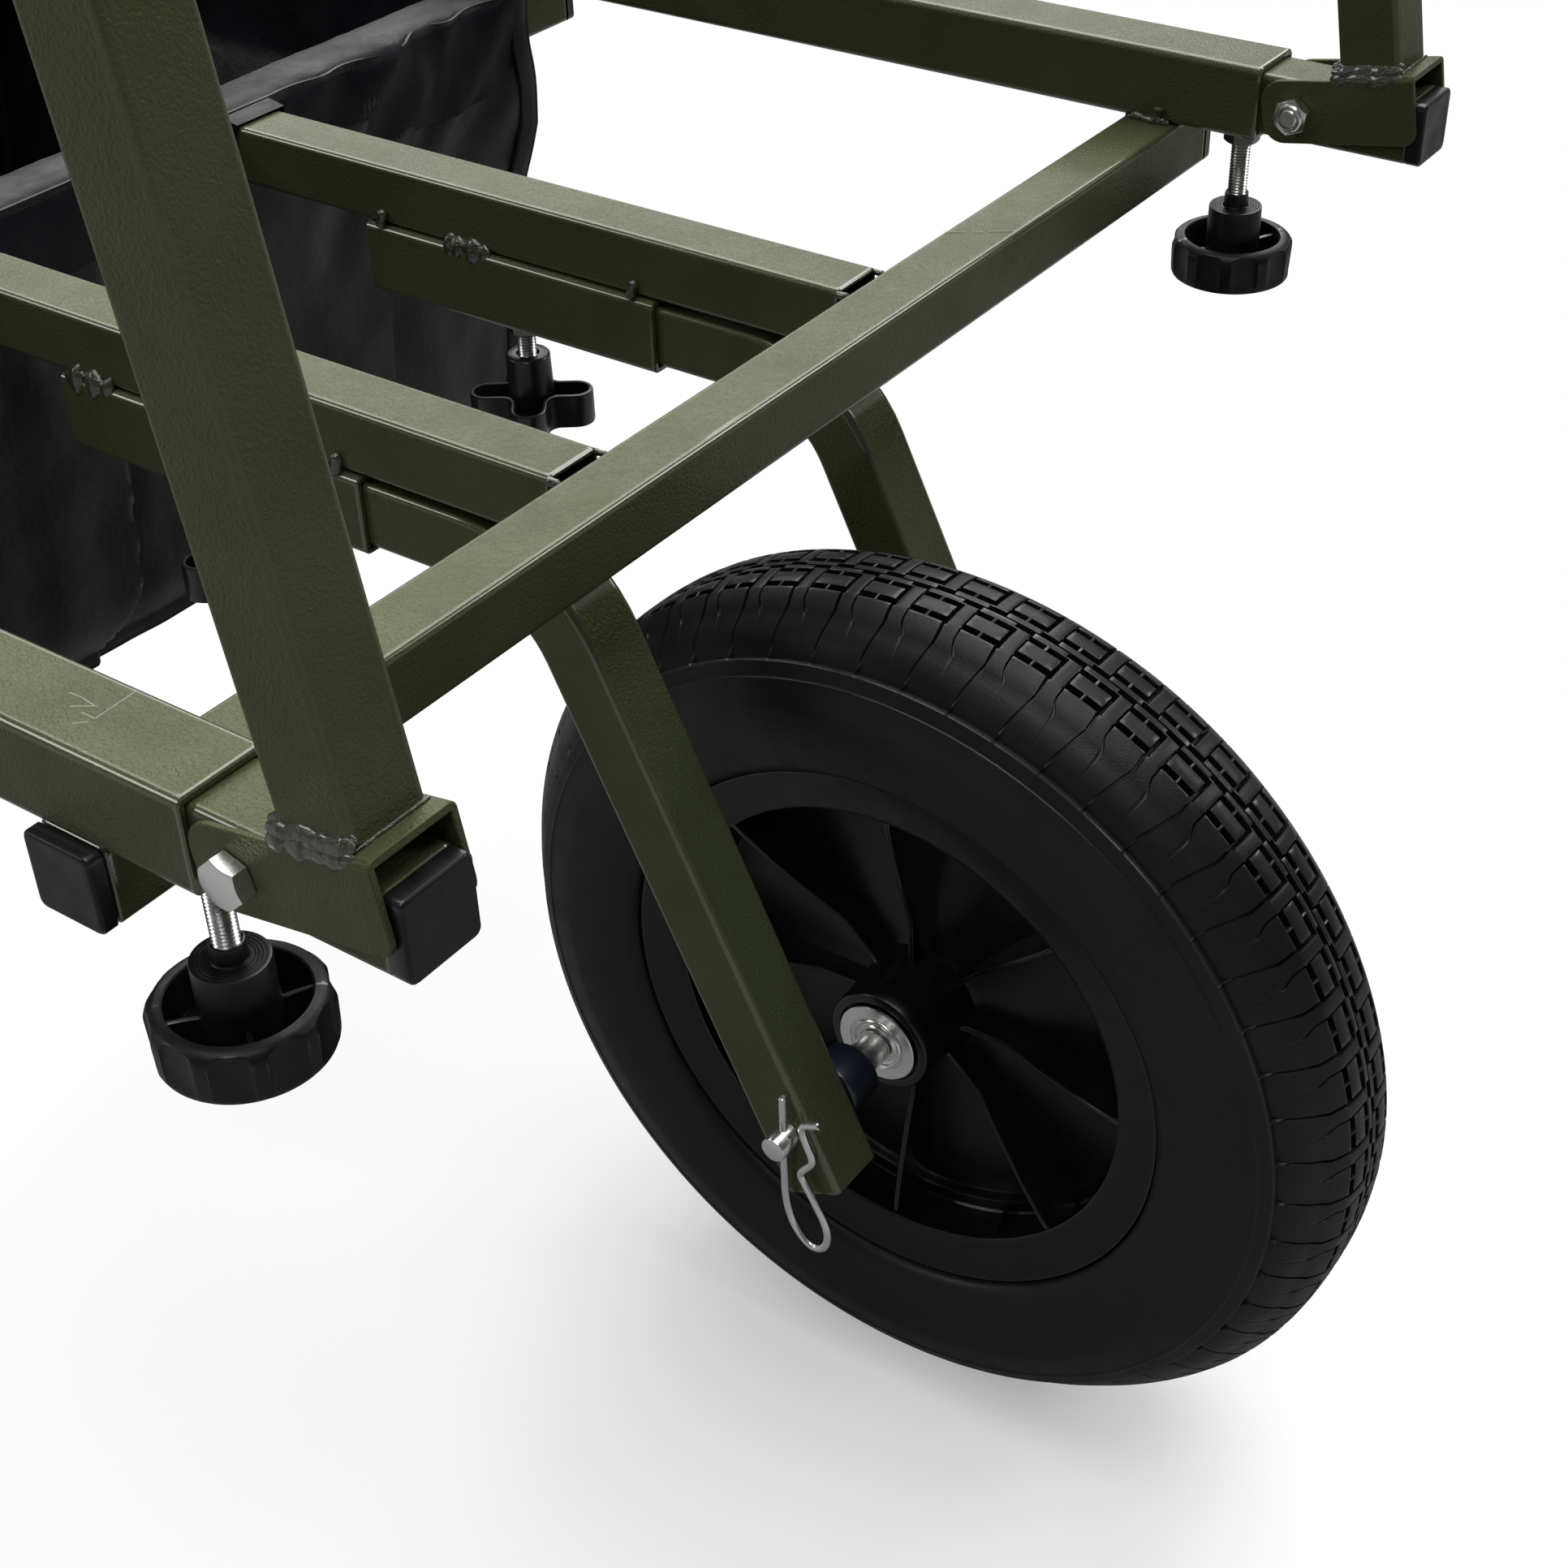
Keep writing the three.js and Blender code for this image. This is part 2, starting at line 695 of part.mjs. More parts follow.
// Tyre: a revolved section whose tread rows are shifted and lowered column by column,
// which gives the zigzag grooves and the shoulder lugs.
function tyre() {
  const fall = (y) => Math.pow((y - ribHalf) / (shoulderHalf - ribHalf), 2);
  const crown = (y) => tyreRadius - (tyreRadius - shoulderRadius) * fall(y);
  const rows = [
    { y: ribHalf, r: crown(ribHalf), shift: zigzag },
    { y: grooveHalf, r: crown(grooveHalf) - grooveDepth, shift: zigzag },
    { y: blockInner, r: crown(blockInner), shift: zigzag },
    { y: blockOuter, r: crown(blockOuter) },
    { y: shoulderGroove, r: crown(shoulderGroove) - grooveDepth },
    { y: shoulderInner, r: crown(shoulderInner), drop: lugDepth },
    { y: shoulderHalf, r: shoulderRadius, drop: lugDepth },
    { y: flankHalf, r: flankRadius, drop: lugDepth / 2 },
    { y: tyreHalfWidth, r: sidewallRadius },
    { y: beadBulgeHalf, r: beadBulgeRadius },
    { y: beadHalf, r: flangeRadius + gap },
    { y: flangeInner - gap, r: flangeRadius + gap },
    { y: flangeInner - gap, r: seatRadius + gap },
  ];
  const far = rows.map((row) => ({ ...row, y: -row.y }));
  const section = [...far.reverse(), ...rows];
  const ring = [...section, section[0]];
  const points = ring.map((row) => new THREE.Vector2(row.r, row.y));
  const geometry = new THREE.LatheGeometry(points, 2 * pitchCount);
  const position = geometry.getAttribute("position");
  for (let i = 0; i < position.count; i += 1) {
    const row = ring[i % ring.length];
    const column = Math.floor(i / ring.length) % 2;
    const scale = 1 - (column === 1 && row.drop ? row.drop : 0) / row.r;
    const shift = (column === 1 ? 1 : -1) * (row.shift ?? 0);
    position.setXYZ(i, position.getX(i) * scale, position.getY(i) + shift, position.getZ(i) * scale);
  }
  return solid(geometry);
}

// Bearing: a flanged sleeve pressed into the boss.
function bearing() {
  const bore = pinRadius + gap;
  const profile = [
    [bore, rimHubHalf - bearingDepth],
    [bearingRadius - gap, rimHubHalf - bearingDepth],
    [bearingRadius - gap, bearingFace],
    [bearingFlangeRadius, bearingFace],
    [bearingFlangeRadius, bearingFace + bearingFlange],
    [bore, bearingFace + bearingFlange],
  ];
  return turned(profile, 16);
}

place(wheel, "tyre", tyre(), tyreRubber);
place(wheel, "rim", rim(), rimPlastic);
for (const [side, sign] of sides) {
  place(wheel, `wheel_bearing_${side}`, bearing(), zinc).rotation.z = sign > 0 ? 0 : Math.PI;
}

// Clamp screws and knobs

const ringRadius = 25.5;
const ringInner = 19.8;
const ringHeight = 17;
const ringFloor = 3;
const ringHub = 11;
const ringHubProud = 13; // above the ring's upper edge
const collarRadius = 5.6;
const collarHeight = 6;
const scallop = 1.5;
const scallopCount = 10;
const spokeThick = 1.8;
const ringScrewOut = 28.5; // from the nut's tube to the collar's top
const screwInKnob = 14;

// Ring knob: a scalloped cup with a raised hub and four thin spokes, opening upwards.
// Drawn with the hub's top at the origin.
function ringKnob() {
  const ringTop = -ringHubProud;
  const ringBottom = ringTop - ringHeight;
  const outline = new THREE.Shape();
  const stepCount = 4 * scallopCount;
  for (let i = 0; i < stepCount; i += 1) {
    const angle = (2 * Math.PI * i) / stepCount;
    const radius = ringRadius - (scallop / 2) * (1 - Math.cos(scallopCount * angle));
    const x = radius * Math.cos(angle);
    const y = radius * Math.sin(angle);
    if (i === 0) outline.moveTo(x, y);
    else outline.lineTo(x, y);
  }
  outline.closePath();
  const edge = ringFloor / 2;
  const options = {
    depth: ringHeight - 2 * edge,
    bevelThickness: edge,
    bevelSize: edge,
    bevelOffset: -edge,
    bevelSegments: 1,
  };
  const cup = new THREE.ExtrudeGeometry(outline, options);
  cup.translate(0, 0, ringBottom + edge);
  const cavity = bar(ringInner, ringBottom + ringFloor, ringTop + overrun, "z", 24);
  const hub = bar(ringHub, ringBottom + ringFloor / 2, 0, "z", 20);
  const collar = bar(collarRadius, -overrun, collarHeight, "z", 12);
  const spokeReach = ringInner + (ringRadius - ringInner) / 4;
  const spoke = block(
    new THREE.Vector3(-spokeReach, -spokeThick / 2, ringBottom + ringFloor / 2),
    new THREE.Vector3(spokeReach, spokeThick / 2, ringTop - ringFloor),
  );
  const spokes = spoke.add(spoke.rotate([0, 0, 90]));
  const bore = bar(screwRadius + gap, -screwInKnob, collarHeight + overrun, "z", 12);
  return joined([solid(cup).subtract(cavity), hub, collar, spokes]).subtract(bore);
}

const lobeReach = 26;
const lobeHalf = 7.5;
const lobeFillet = 5;
const lobeWall = 2;
const lobeHeight = 15;
const lobeFloor = 3;
const starHub = 9.5;
const starHubProud = 17;
const starScrewOut = 17;

function crossOutline(reach, half, fillet) {
  const outline = new THREE.Shape();
  const turn = (angle, x, y) => [
    x * Math.cos(angle) - y * Math.sin(angle),
    x * Math.sin(angle) + y * Math.cos(angle),
  ];
  for (let i = 0; i < 4; i += 1) {
    const angle = (i * Math.PI) / 2;
    const [lobeX, lobeY] = turn(angle, reach - half, 0);
    outline.absarc(lobeX, lobeY, half, angle - Math.PI / 2, angle + Math.PI / 2, false);
    outline.lineTo(...turn(angle, half + fillet, half));
    const [nextX, nextY] = turn(angle, half, half + fillet);
    outline.quadraticCurveTo(...turn(angle, half, half), nextX, nextY);
  }
  outline.closePath();
  return outline;
}

// Star knob: four hollow lobes round a tall hub, opening upwards.
// Drawn with the hub's top at the origin. A short one is moulded round its own screw.
function starKnob(screwTip) {
  const lobeTop = -starHubProud;
  const lobeBottom = lobeTop - lobeHeight;
  const shell = { depth: lobeHeight, bevelEnabled: false, curveSegments: 2 };
  const outer = new THREE.ExtrudeGeometry(crossOutline(lobeReach, lobeHalf, lobeFillet), shell);
  outer.translate(0, 0, lobeBottom);
  const inside = crossOutline(lobeReach - lobeWall, lobeHalf - lobeWall, lobeFillet + lobeWall);
  const cut = new THREE.ExtrudeGeometry(inside, shell);
  cut.translate(0, 0, lobeBottom + lobeFloor);
  const hub = bar(starHub, lobeBottom + lobeFloor / 2, 0, "z", 12);
  const knob = solid(outer).subtract(solid(cut)).add(hub);
  if (screwTip) return knob.add(bar(screwRadius, -overrun, screwTip, "z", 8));
  return knob.subtract(bar(screwRadius + gap, -screwInKnob, overrun, "z", 8));
}

// How far a clamp screw reaches past the outer face of a rail or socket to its inner tube.
const screwReach = railWall + slideGap - gap;

for (const [side, sign] of sides) {
  const clamp = new THREE.Group();
  clamp.position.set(ringClampX, sign * railHalfSpan, deckZ - ringScrewOut - collarHeight);
  trolley.add(clamp);
  place(clamp, `front_clamp_knob_${side}`, ringKnob(), blackPlastic);
  const tip = ringScrewOut + collarHeight + screwReach;
  place(clamp, `front_clamp_screw_${side}`, bar(screwRadius, gap - screwInKnob, tip, "z", 12), zinc);
}

const socketUnder = socketZ - railSize / 2;
const starTurn = THREE.MathUtils.degToRad(36); // as the star knobs happen to stand
for (const [side, sign] of sides) {
  const clamp = new THREE.Group();
  clamp.position.set(forkClampX, sign * innerHalfSpan, socketUnder - starScrewOut);
  clamp.rotation.z = starTurn;
  trolley.add(clamp);
  place(clamp, `fork_clamp_knob_${side}`, starKnob(0), blackPlastic);
  const tip = starScrewOut + railWall + slideGap - forkScrewRoom;
  place(clamp, `fork_clamp_screw_${side}`, bar(screwRadius, gap - screwInKnob, tip, "z", 12), zinc);
}

const shortScrewOut = nutThick + plateThick;
for (const [side, sign] of sides) {
  const knob = starKnob(shortScrewOut + screwReach);
  const z = deckZ - shortScrewOut;
  place(trolley, `handle_clamp_knob_${side}`, knob, blackPlastic, handleClampX, sign * railHalfSpan, z);
}

for (const [side, sign] of sides) {
  const knob = starKnob(shortScrewOut + screwReach);
  const mesh = place(trolley, `leg_clamp_knob_${side}`, knob, blackPlastic);
  const x = legX - railSize / 2 - shortScrewOut;
  mesh.position.set(x, sign * railHalfSpan, deckZ - gap - legClampDrop);
  mesh.rotation.y = Math.PI / 2;
}

// Handles

const gripRibs = 3;
const ribHeight = 1.2;

// Grip: a rubber sleeve with rounded ribs and a closed end, over the handle tube.
function grip() {
  const inner = tubeSize / 2 + gap;
  const outer = inner + gripWall;
  const sleeve = squareBar(2 * outer, tubeCorner + gripWall, -gripWall, gripLength, "x");
  const pitch = gripLength / (gripRibs + 1);
  const rib = squareBar(2 * (outer + ribHeight), tubeCorner + gripWall, -pitch / 4, pitch / 4, "x");
  const ribs = Array.from({ length: gripRibs }, (_, i) => rib.translate([(i + 1) * pitch, 0, 0]));
  const cavity = squareBar(2 * inner, tubeCorner, -gap, gripLength + overrun, "x");
  return joined([sleeve, ...ribs]).subtract(cavity);
}

for (const [side, sign] of sides) {
  const y = sign * railHalfSpan;
  const tube = straightTube(tubeSize, tubeWall, tubeCorner, handleEndX, handleEndX + handleLength, "x");
  place(trolley, `handle_tube_${side}`, tube, coat, 0, y, railZ);
  place(trolley, `handle_grip_${side}`, grip(), gripRubber, handleEndX, y, railZ);
}

// Rear legs

const legFootTop = footThick + footCollar;

// Foot: a dished disc with a square collar under the leg and a stem inside it.
function foot() {
  const disc = turned(
    [
      [0, 0],
      [footRadius, 0],
      [footRadius, footThick / 2],
      [footRadius - footThick, footThick],
      [tubeSize / 2, footThick],
      [0, footThick],
    ],
    20,
  );
  const collar = squareBar(tubeSize, tubeCorner, footThick / 2, legFootTop - gap, "z");
  return joined([disc.rotate([90, 0, 0]), collar, stem(footThick, legFootTop + stemLength, "z")]);
}

for (const [side, sign] of sides) {
  const y = sign * railHalfSpan;
  const top = deckZ - gap - legHead;
  const leg = straightTube(tubeSize, tubeWall, tubeCorner, legFootTop, top, "z");
  place(trolley, `rear_leg_${side}`, leg, coat, legX, y, 0);
  place(trolley, `rear_foot_${side}`, foot(), blackPlastic, legX, y, 0);
}

// Bag

// One level of the bag's walls: a rounded rectangle of points, drawn anticlockwise.
function bagRing(rearX, frontX, half, corner, z, cornerSteps) {
  const points = [];
  const centres = [
    [frontX - corner, half - corner],
    [rearX + corner, half - corner],
    [rearX + corner, corner - half],
    [frontX - corner, corner - half],
  ];
  centres.forEach(([x, y], quarter) => {
    for (let step = 0; step <= cornerSteps; step += 1) {
      const angle = ((quarter + step / cornerSteps) * Math.PI) / 2;
      points.push(new THREE.Vector3(x + corner * Math.cos(angle), y + corner * Math.sin(angle), z));
    }
  });
  return points;
}

// A closed body through a stack of rings, with flat ends.
function lofted(rings) {
  const count = rings[0].length;
  const vertices = rings.flat().flatMap((point) => [point.x, point.y, point.z]);
  const index = [];
  for (let level = 0; level + 1 < rings.length; level += 1) {
    for (let i = 0; i < count; i += 1) {
      const a = level * count + i;
      const b = level * count + ((i + 1) % count);
      index.push(a, b, b + count, a, b + count, a + count);
    }
  }
  const last = (rings.length - 1) * count;
  for (let i = 1; i + 1 < count; i += 1) {
    index.push(0, i + 1, i);
    index.push(last, last + i, last + i + 1);
  }
  const geometry = new THREE.BufferGeometry();
  geometry.setAttribute("position", new THREE.Float32BufferAttribute(vertices, 3));
  geometry.setIndex(index);
  return solid(geometry);
}

// The levels of the bag's shell, drawn in by an inset, with the top edge raised by a rise.
function bagRings(inset, rise) {
  const front = crossbarFronts.mid + gap + bagWall - inset;
  const rear = crossbarFronts.rear - tubeSize - gap - bagWall + inset;
  const height = bagDepth + gap + bagWall - inset;
  const levelShares = [1, 0.87, 0.42, 0.3, 0.08, 0];
  const narrowShares = [1, 0.79, 0.36, 0.05, 0, 0];
  return levelShares.map((share, i) => {
    const half = bagHalfTop - inset - (bagHalfTop - bagHalfBottom) * narrowShares[i];
    const tuck = i === 0 ? bagTuck : 0;
    const z = deckZ - bagDepth + inset + height * (1 - share) + (share > 0 ? 0 : rise);
    return bagRing(rear + tuck, front - tuck, half, bagCorner - inset, z, 3);
  });
}

// Bag: a sagging open box that hangs from sleeves over the middle and rear crossbars.
function bag() {
  const top = deckZ + gap + bagWall;
  const under = crossbarZ - tubeSize / 2 - gap;
  let body = lofted(bagRings(0, 0)).subtract(lofted(bagRings(bagWall, overrun)));
  for (const crossbar of [crossbarFronts.mid, crossbarFronts.rear]) {
    const rear = crossbar - tubeSize - gap;
    const front = crossbar + gap;
    const sleeve = block(
      new THREE.Vector3(rear - bagWall, bagCorner - bagHalfTop, deckZ + gap),
      new THREE.Vector3(front + bagWall, bagHalfTop - bagCorner, top),
    );
    const passage = block(
      new THREE.Vector3(rear, -crossbarHalf, under),
      new THREE.Vector3(front, crossbarHalf, deckZ + gap),
    );
    body = body.add(sleeve).subtract(passage);
  }
  const notch = block(
    new THREE.Vector3(crossbarFronts.mid - gap, -tubeSize / 2 - gap, under - bagNotchRoom),
    new THREE.Vector3(crossbarFronts.mid + bagCorner, tubeSize / 2 + gap, top + overrun),
  );
  const notches = [-1, 1].map((sign) => notch.translate([0, sign * innerHalfSpan, 0]));
  return body.subtract(joined(notches));
}

place(trolley, "bag", bag(), bagCloth);

export default trolley;
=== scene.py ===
"""Dresses the fishing trolley: painted tubes and welds, clamp knobs, wheel, bag and stage."""
import json
import math

import bmesh
import bpy
import numpy as np
from mathutils import Matrix, Vector, noise


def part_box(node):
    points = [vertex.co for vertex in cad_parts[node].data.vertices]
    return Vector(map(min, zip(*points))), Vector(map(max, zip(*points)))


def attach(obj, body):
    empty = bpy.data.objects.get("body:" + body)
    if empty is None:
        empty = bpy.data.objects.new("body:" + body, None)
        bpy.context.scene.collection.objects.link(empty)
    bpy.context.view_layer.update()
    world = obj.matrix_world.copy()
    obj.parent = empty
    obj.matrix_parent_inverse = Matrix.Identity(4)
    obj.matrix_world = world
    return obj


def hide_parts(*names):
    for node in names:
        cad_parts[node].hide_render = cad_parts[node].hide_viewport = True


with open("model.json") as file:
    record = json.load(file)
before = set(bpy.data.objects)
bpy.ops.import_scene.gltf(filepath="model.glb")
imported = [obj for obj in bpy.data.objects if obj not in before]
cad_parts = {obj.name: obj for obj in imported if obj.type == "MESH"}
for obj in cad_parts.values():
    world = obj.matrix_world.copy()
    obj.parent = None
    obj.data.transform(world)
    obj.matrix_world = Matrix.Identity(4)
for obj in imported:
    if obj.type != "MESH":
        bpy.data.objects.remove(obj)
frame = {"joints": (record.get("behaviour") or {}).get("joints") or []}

bl_info = {
    "name": "Fishing Trolley Dressing",
    "version": (1, 0, 0),
    "blender": (4, 5, 0),
    "location": "View3D > Sidebar > Trolley",
    "description": "Builds the visible pieces of a single-wheel fishing trolley on its solids",
    "category": "Add Mesh",
}

MM = 0.001
PHOTO_PIXELS = 1932
SIDES = (("right", -1), ("left", 1))

# Square tube of the rails and sockets, and the smaller tube of everything else.
RAIL = {"size": 30 * MM, "wall": 2 * MM, "corner": 2.6 * MM}
TUBE = {"size": 25 * MM, "wall": 1.5 * MM, "corner": 2.2 * MM}
CORNER_STEPS = 5
SHARP = math.radians(32)
NUT_ACROSS = 13 * MM
SCREW_RADIUS = 4 * MM
NIB = 3.7 * MM  # weld between an inner rail and the front crossbar

JOINTS = {joint["name"]: joint for joint in frame["joints"]}
AXLE = Vector(JOINTS["wheel_spin"]["pos_m"])
PIVOT = Vector(JOINTS["hoop_fold"]["pos_m"])
RAIL_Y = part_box("side_rail_left")[1].y - RAIL["size"] / 2
INNER_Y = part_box("fork_socket_left")[1].y - RAIL["size"] / 2
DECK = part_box("side_rail_left")[1].z - RAIL["size"]
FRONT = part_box("front_crossbar")[1].x

# Places in millimetres, as from_front takes them: the crossbars' front faces and the tubes' middles.
CROSSBARS = (0, -350, -720)
RAIL_MIDDLE = 291
INNER_MIDDLE = 82


class TrolleySettings(bpy.types.PropertyGroup):
    """Sizes and colours that give the trolley its look."""

    coat_colour: bpy.props.FloatVectorProperty(
        name="Coat colour",
        description="Powder coat of the frame",
        subtype="COLOR",
        size=3,
        min=0.0,
        max=1.0,
        default=(0.050, 0.060, 0.029),
    )
    zinc_colour: bpy.props.FloatVectorProperty(
        name="Zinc colour",
        description="Plating of the pin, bolts and screws",
        subtype="COLOR",
        size=3,
        min=0.0,
        max=1.0,
        default=(0.74, 0.75, 0.73),
    )
    plastic_colour: bpy.props.FloatVectorProperty(
        name="Plastic colour",
        description="Knobs, plugs and caps",
        subtype="COLOR",
        size=3,
        min=0.0,
        max=1.0,
        default=(0.007, 0.007, 0.008),
    )
    cloth_colour: bpy.props.FloatVectorProperty(
        name="Cloth colour",
        description="Coated cloth of the bag",
        subtype="COLOR",
        size=3,
        min=0.0,
        max=1.0,
        default=(0.0036, 0.0043, 0.0060),
    )
    peel_depth: bpy.props.FloatProperty(
        name="Coat ripple",
        description="Depth of the orange-peel ripple in the powder coat",
        default=0.42 * MM,
        min=0.0,
        subtype="DISTANCE",
        unit="LENGTH",
    )
    bead_width: bpy.props.FloatProperty(
        name="Weld width",
        description="Width of a weld bead",
        default=6 * MM,
        min=1 * MM,
        subtype="DISTANCE",
        unit="LENGTH",
    )
    groove_depth: bpy.props.FloatProperty(
        name="Tread depth",
        description="Depth of the widest tread grooves",
        default=4.2 * MM,
        min=0.0,
        subtype="DISTANCE",
        unit="LENGTH",
    )
    light_level: bpy.props.FloatProperty(
        name="Light level",
        description="Share of the full studio light",
        default=1.0,
        min=0.0,
        subtype="FACTOR",
    )


def settings():
    return bpy.context.scene.trolley_settings


# Materials


class Nodes:
    """A short way to add and link the nodes of one material."""

    def __init__(self, name):
        self.material = bpy.data.materials.new(name)
        self.material.use_nodes = True
        self.tree = self.material.node_tree
        self.shader = self.tree.nodes["Principled BSDF"]
        self.place = self.add("ShaderNodeTexCoord").outputs["Object"]

    def add(self, kind, **values):
        node = self.tree.nodes.new(kind)
        for key, value in values.items():
            if hasattr(node, key):
                setattr(node, key, value)
            else:
                node.inputs[key.replace("_", " ").title()].default_value = value
        return node

    def link(self, source, target):
        self.tree.links.new(source, target)

    def noise(self, scale, detail, roughness=0.5, place=None):
        node = self.add("ShaderNodeTexNoise", scale=scale, detail=detail, roughness=roughness)
        self.link(place or self.place, node.inputs["Vector"])
        return node.outputs["Fac"]

    def stretched(self, x, y, z):
        node = self.add("ShaderNodeMapping")
        node.inputs["Scale"].default_value = (x, y, z)
        self.link(self.place, node.inputs["Vector"])
        return node.outputs["Vector"]

    def warped(self, scale, reach):
        """The piece's own coordinates, shifted about by a soft noise."""
        shift = self.add("ShaderNodeTexNoise", scale=scale, detail=1.0, roughness=0.5)
        self.link(self.place, shift.inputs["Vector"])
        moved = self.add("ShaderNodeVectorMath", operation="MULTIPLY_ADD")
        self.link(shift.outputs["Color"], moved.inputs[0])
        moved.inputs[1].default_value = (reach, reach, reach)
        self.link(self.place, moved.inputs[2])
        return moved.outputs["Vector"]

    def ranged(self, value, low, high, to_low, to_high):
        node = self.add("ShaderNodeMapRange")
        for key, number in (("From Min", low), ("From Max", high), ("To Min", to_low), ("To Max", to_high)):
            node.inputs[key].default_value = number
        self.link(value, node.inputs["Value"])
        return node.outputs["Result"]

    def math(self, operation, first, second):
        node = self.add("ShaderNodeMath", operation=operation)
        for socket, value in zip(node.inputs, (first, second)):
            if isinstance(value, (int, float)):
                socket.default_value = value
            else:
                self.link(value, socket)
        return node.outputs["Value"]

    def mixed(self, share, first, second):
        node = self.add("ShaderNodeMix", data_type="RGBA")
        self.link(share, node.inputs["Factor"])
        for socket, value in zip((node.inputs[6], node.inputs[7]), (first, second)):
            if isinstance(value, tuple):
                socket.default_value = (*value, 1.0)
            else:
                self.link(value, socket)
        return node.outputs[2]

    def clouded(self, colour, scale, shades, span=(0.35, 0.65), detail=3, roughness=0.5):
        """The colour, drifting between a darker and a lighter shade of it."""
        cloud = self.ranged(self.noise(scale, detail, roughness), *span, 0, 1)
        return self.mixed(cloud, *(shaded(colour, share) for share in shades))

    def patchy(self, scale, values, detail=3):
        """A number that drifts between two values."""
        return self.ranged(self.noise(scale, detail), 0.3, 0.7, *values)

    def bump(self, height, depth, normal=None):
        node = self.add("ShaderNodeBump")
        node.inputs["Distance"].default_value = depth
        node.inputs["Strength"].default_value = 1.0
        self.link(height, node.inputs["Height"])
        if normal:
            self.link(normal, node.inputs["Normal"])
        return node.outputs["Normal"]

    def shiny_edges(self, plain, most, low, high):
        """More clear coat where the surface turns sharply outwards: plain at low pointiness, most at high."""
        geometry = self.add("ShaderNodeNewGeometry")
        coat = self.ranged(geometry.outputs["Pointiness"], low, high, plain, most)
        self.link(coat, self.shader.inputs["Coat Weight"])

    def finish(self, colour, rough, normal, **sockets):
        """Links the three procedural inputs and sets plain numbers on the other sockets."""
        for key, value in sockets.items():
            self.shader.inputs[key.replace("_", " ")].default_value = value
        for name, value in (("Base Color", colour), ("Roughness", rough), ("Normal", normal)):
            self.link(value, self.shader.inputs[name])
        return self.material


def shaded(colour, share):
    return tuple(channel * share for channel in colour)


def coat_material(name, scratch_axis=None, edge_coat=0.8):
    """Olive powder coat with its orange-peel ripple, and pale scratches along one axis."""
    nodes = Nodes(name)
    base = nodes.clouded(settings().coat_colour, 18, (0.86, 1.12))
    rough = nodes.patchy(60, (0.34, 0.46))
    if scratch_axis is not None:
        fine, long = 260.0, 9.0
        stretch = [fine, fine, fine]
        stretch[scratch_axis] = long
        lines = nodes.noise(1.0, 4, 0.6, nodes.stretched(*stretch))
        patches = nodes.ranged(nodes.noise(7, 2), 0.5, 0.62, 0, 1)
        rubbed = nodes.math("MULTIPLY", nodes.ranged(lines, 0.66, 0.72, 0, 1), patches)
        # Only faces that look up are scratched.
        geometry = nodes.add("ShaderNodeNewGeometry")
        split = nodes.add("ShaderNodeSeparateXYZ")
        nodes.link(geometry.outputs["Normal"], split.inputs["Vector"])
        upward = nodes.ranged(split.outputs["Z"], 0.8, 0.95, 0, 0.75)
        scratches = nodes.math("MULTIPLY", rubbed, upward)
        base = nodes.mixed(scratches, base, (0.42, 0.42, 0.38))
    # Orange peel: short worms of ripple, with a finer grain on them.
    ripple = nodes.noise(980, 1.5, 0.5, nodes.warped(300, 2 * MM))
    grain = nodes.noise(1900, 2, 0.5)
    depth = settings().peel_depth
    normal = nodes.bump(grain, depth * 0.12, nodes.bump(ripple, depth))
    nodes.shiny_edges(0.06, edge_coat, 0.509, 0.522)
    # The coat's own reflection is olive too, which keeps the lit tops from going grey.
    sheen = {"Specular_IOR_Level": 0.25, "Specular_Tint": (1.0, 0.99, 0.2, 1.0)}
    return nodes.finish(base, rough, normal, Coat_Roughness=0.12, Coat_IOR=1.8, **sheen)


def weld_material(name):
    """Rough weld under the coat: darker and glossier, with pin-prick bumps that glint."""
    nodes = Nodes(name)
    base = nodes.clouded(settings().coat_colour, 240, (0.35, 0.8))
    rough = nodes.patchy(300, (0.2, 0.36))
    normal = nodes.bump(nodes.noise(1500, 2), 0.2 * MM, nodes.bump(nodes.noise(420, 3), 0.9 * MM))
    return nodes.finish(base, rough, normal, Specular_IOR_Level=0.5, Coat_Weight=0.9, Coat_Roughness=0.1)


def zinc_material(name):
    """Bright zinc plating with a soft grain and faint clouding."""
    nodes = Nodes(name)
    base = nodes.clouded(settings().zinc_colour, 60, (0.9, 1.1), (0, 1))
    roughness = nodes.patchy(200, (0.2, 0.32))
    normal = nodes.bump(nodes.noise(900, 2), 0.012 * MM)
    return nodes.finish(base, roughness, normal, Metallic=1.0)


def plastic_material(name, colour=None, rough=(0.34, 0.5), grain=0.05 * MM, gloss=0.0):
    """Moulded plastic with a fine spark-eroded grain, rubbed patches and shiny edges."""
    nodes = Nodes(name)
    base = nodes.clouded(colour or settings().plastic_colour, 35, (0.85, 1.5), (0.35, 0.7))
    roughness = nodes.patchy(140, rough)
    normal = nodes.bump(nodes.noise(2200, 2), grain)
    nodes.shiny_edges(gloss, 1.0, 0.53, 0.58)
    return nodes.finish(base, roughness, normal, Specular_IOR_Level=0.25, Coat_Roughness=0.18, Coat_IOR=1.6)


def rubber_material(name, colour, rough):
    """Rubber with a bloom of dust and a fine matt grain."""
    nodes = Nodes(name)
    base = nodes.clouded(colour, 22, (1, 1.5), (0.45, 0.75), 4, 0.6)
    roughness = nodes.patchy(75, rough)
    normal = nodes.bump(nodes.noise(1400, 3), 0.08 * MM)
    nodes.shiny_edges(0.0, 1.0, 0.535, 0.6)
    return nodes.finish(base, roughness, normal, Specular_IOR_Level=0.3, Coat_Roughness=0.2, Coat_IOR=1.7)


# Meshes


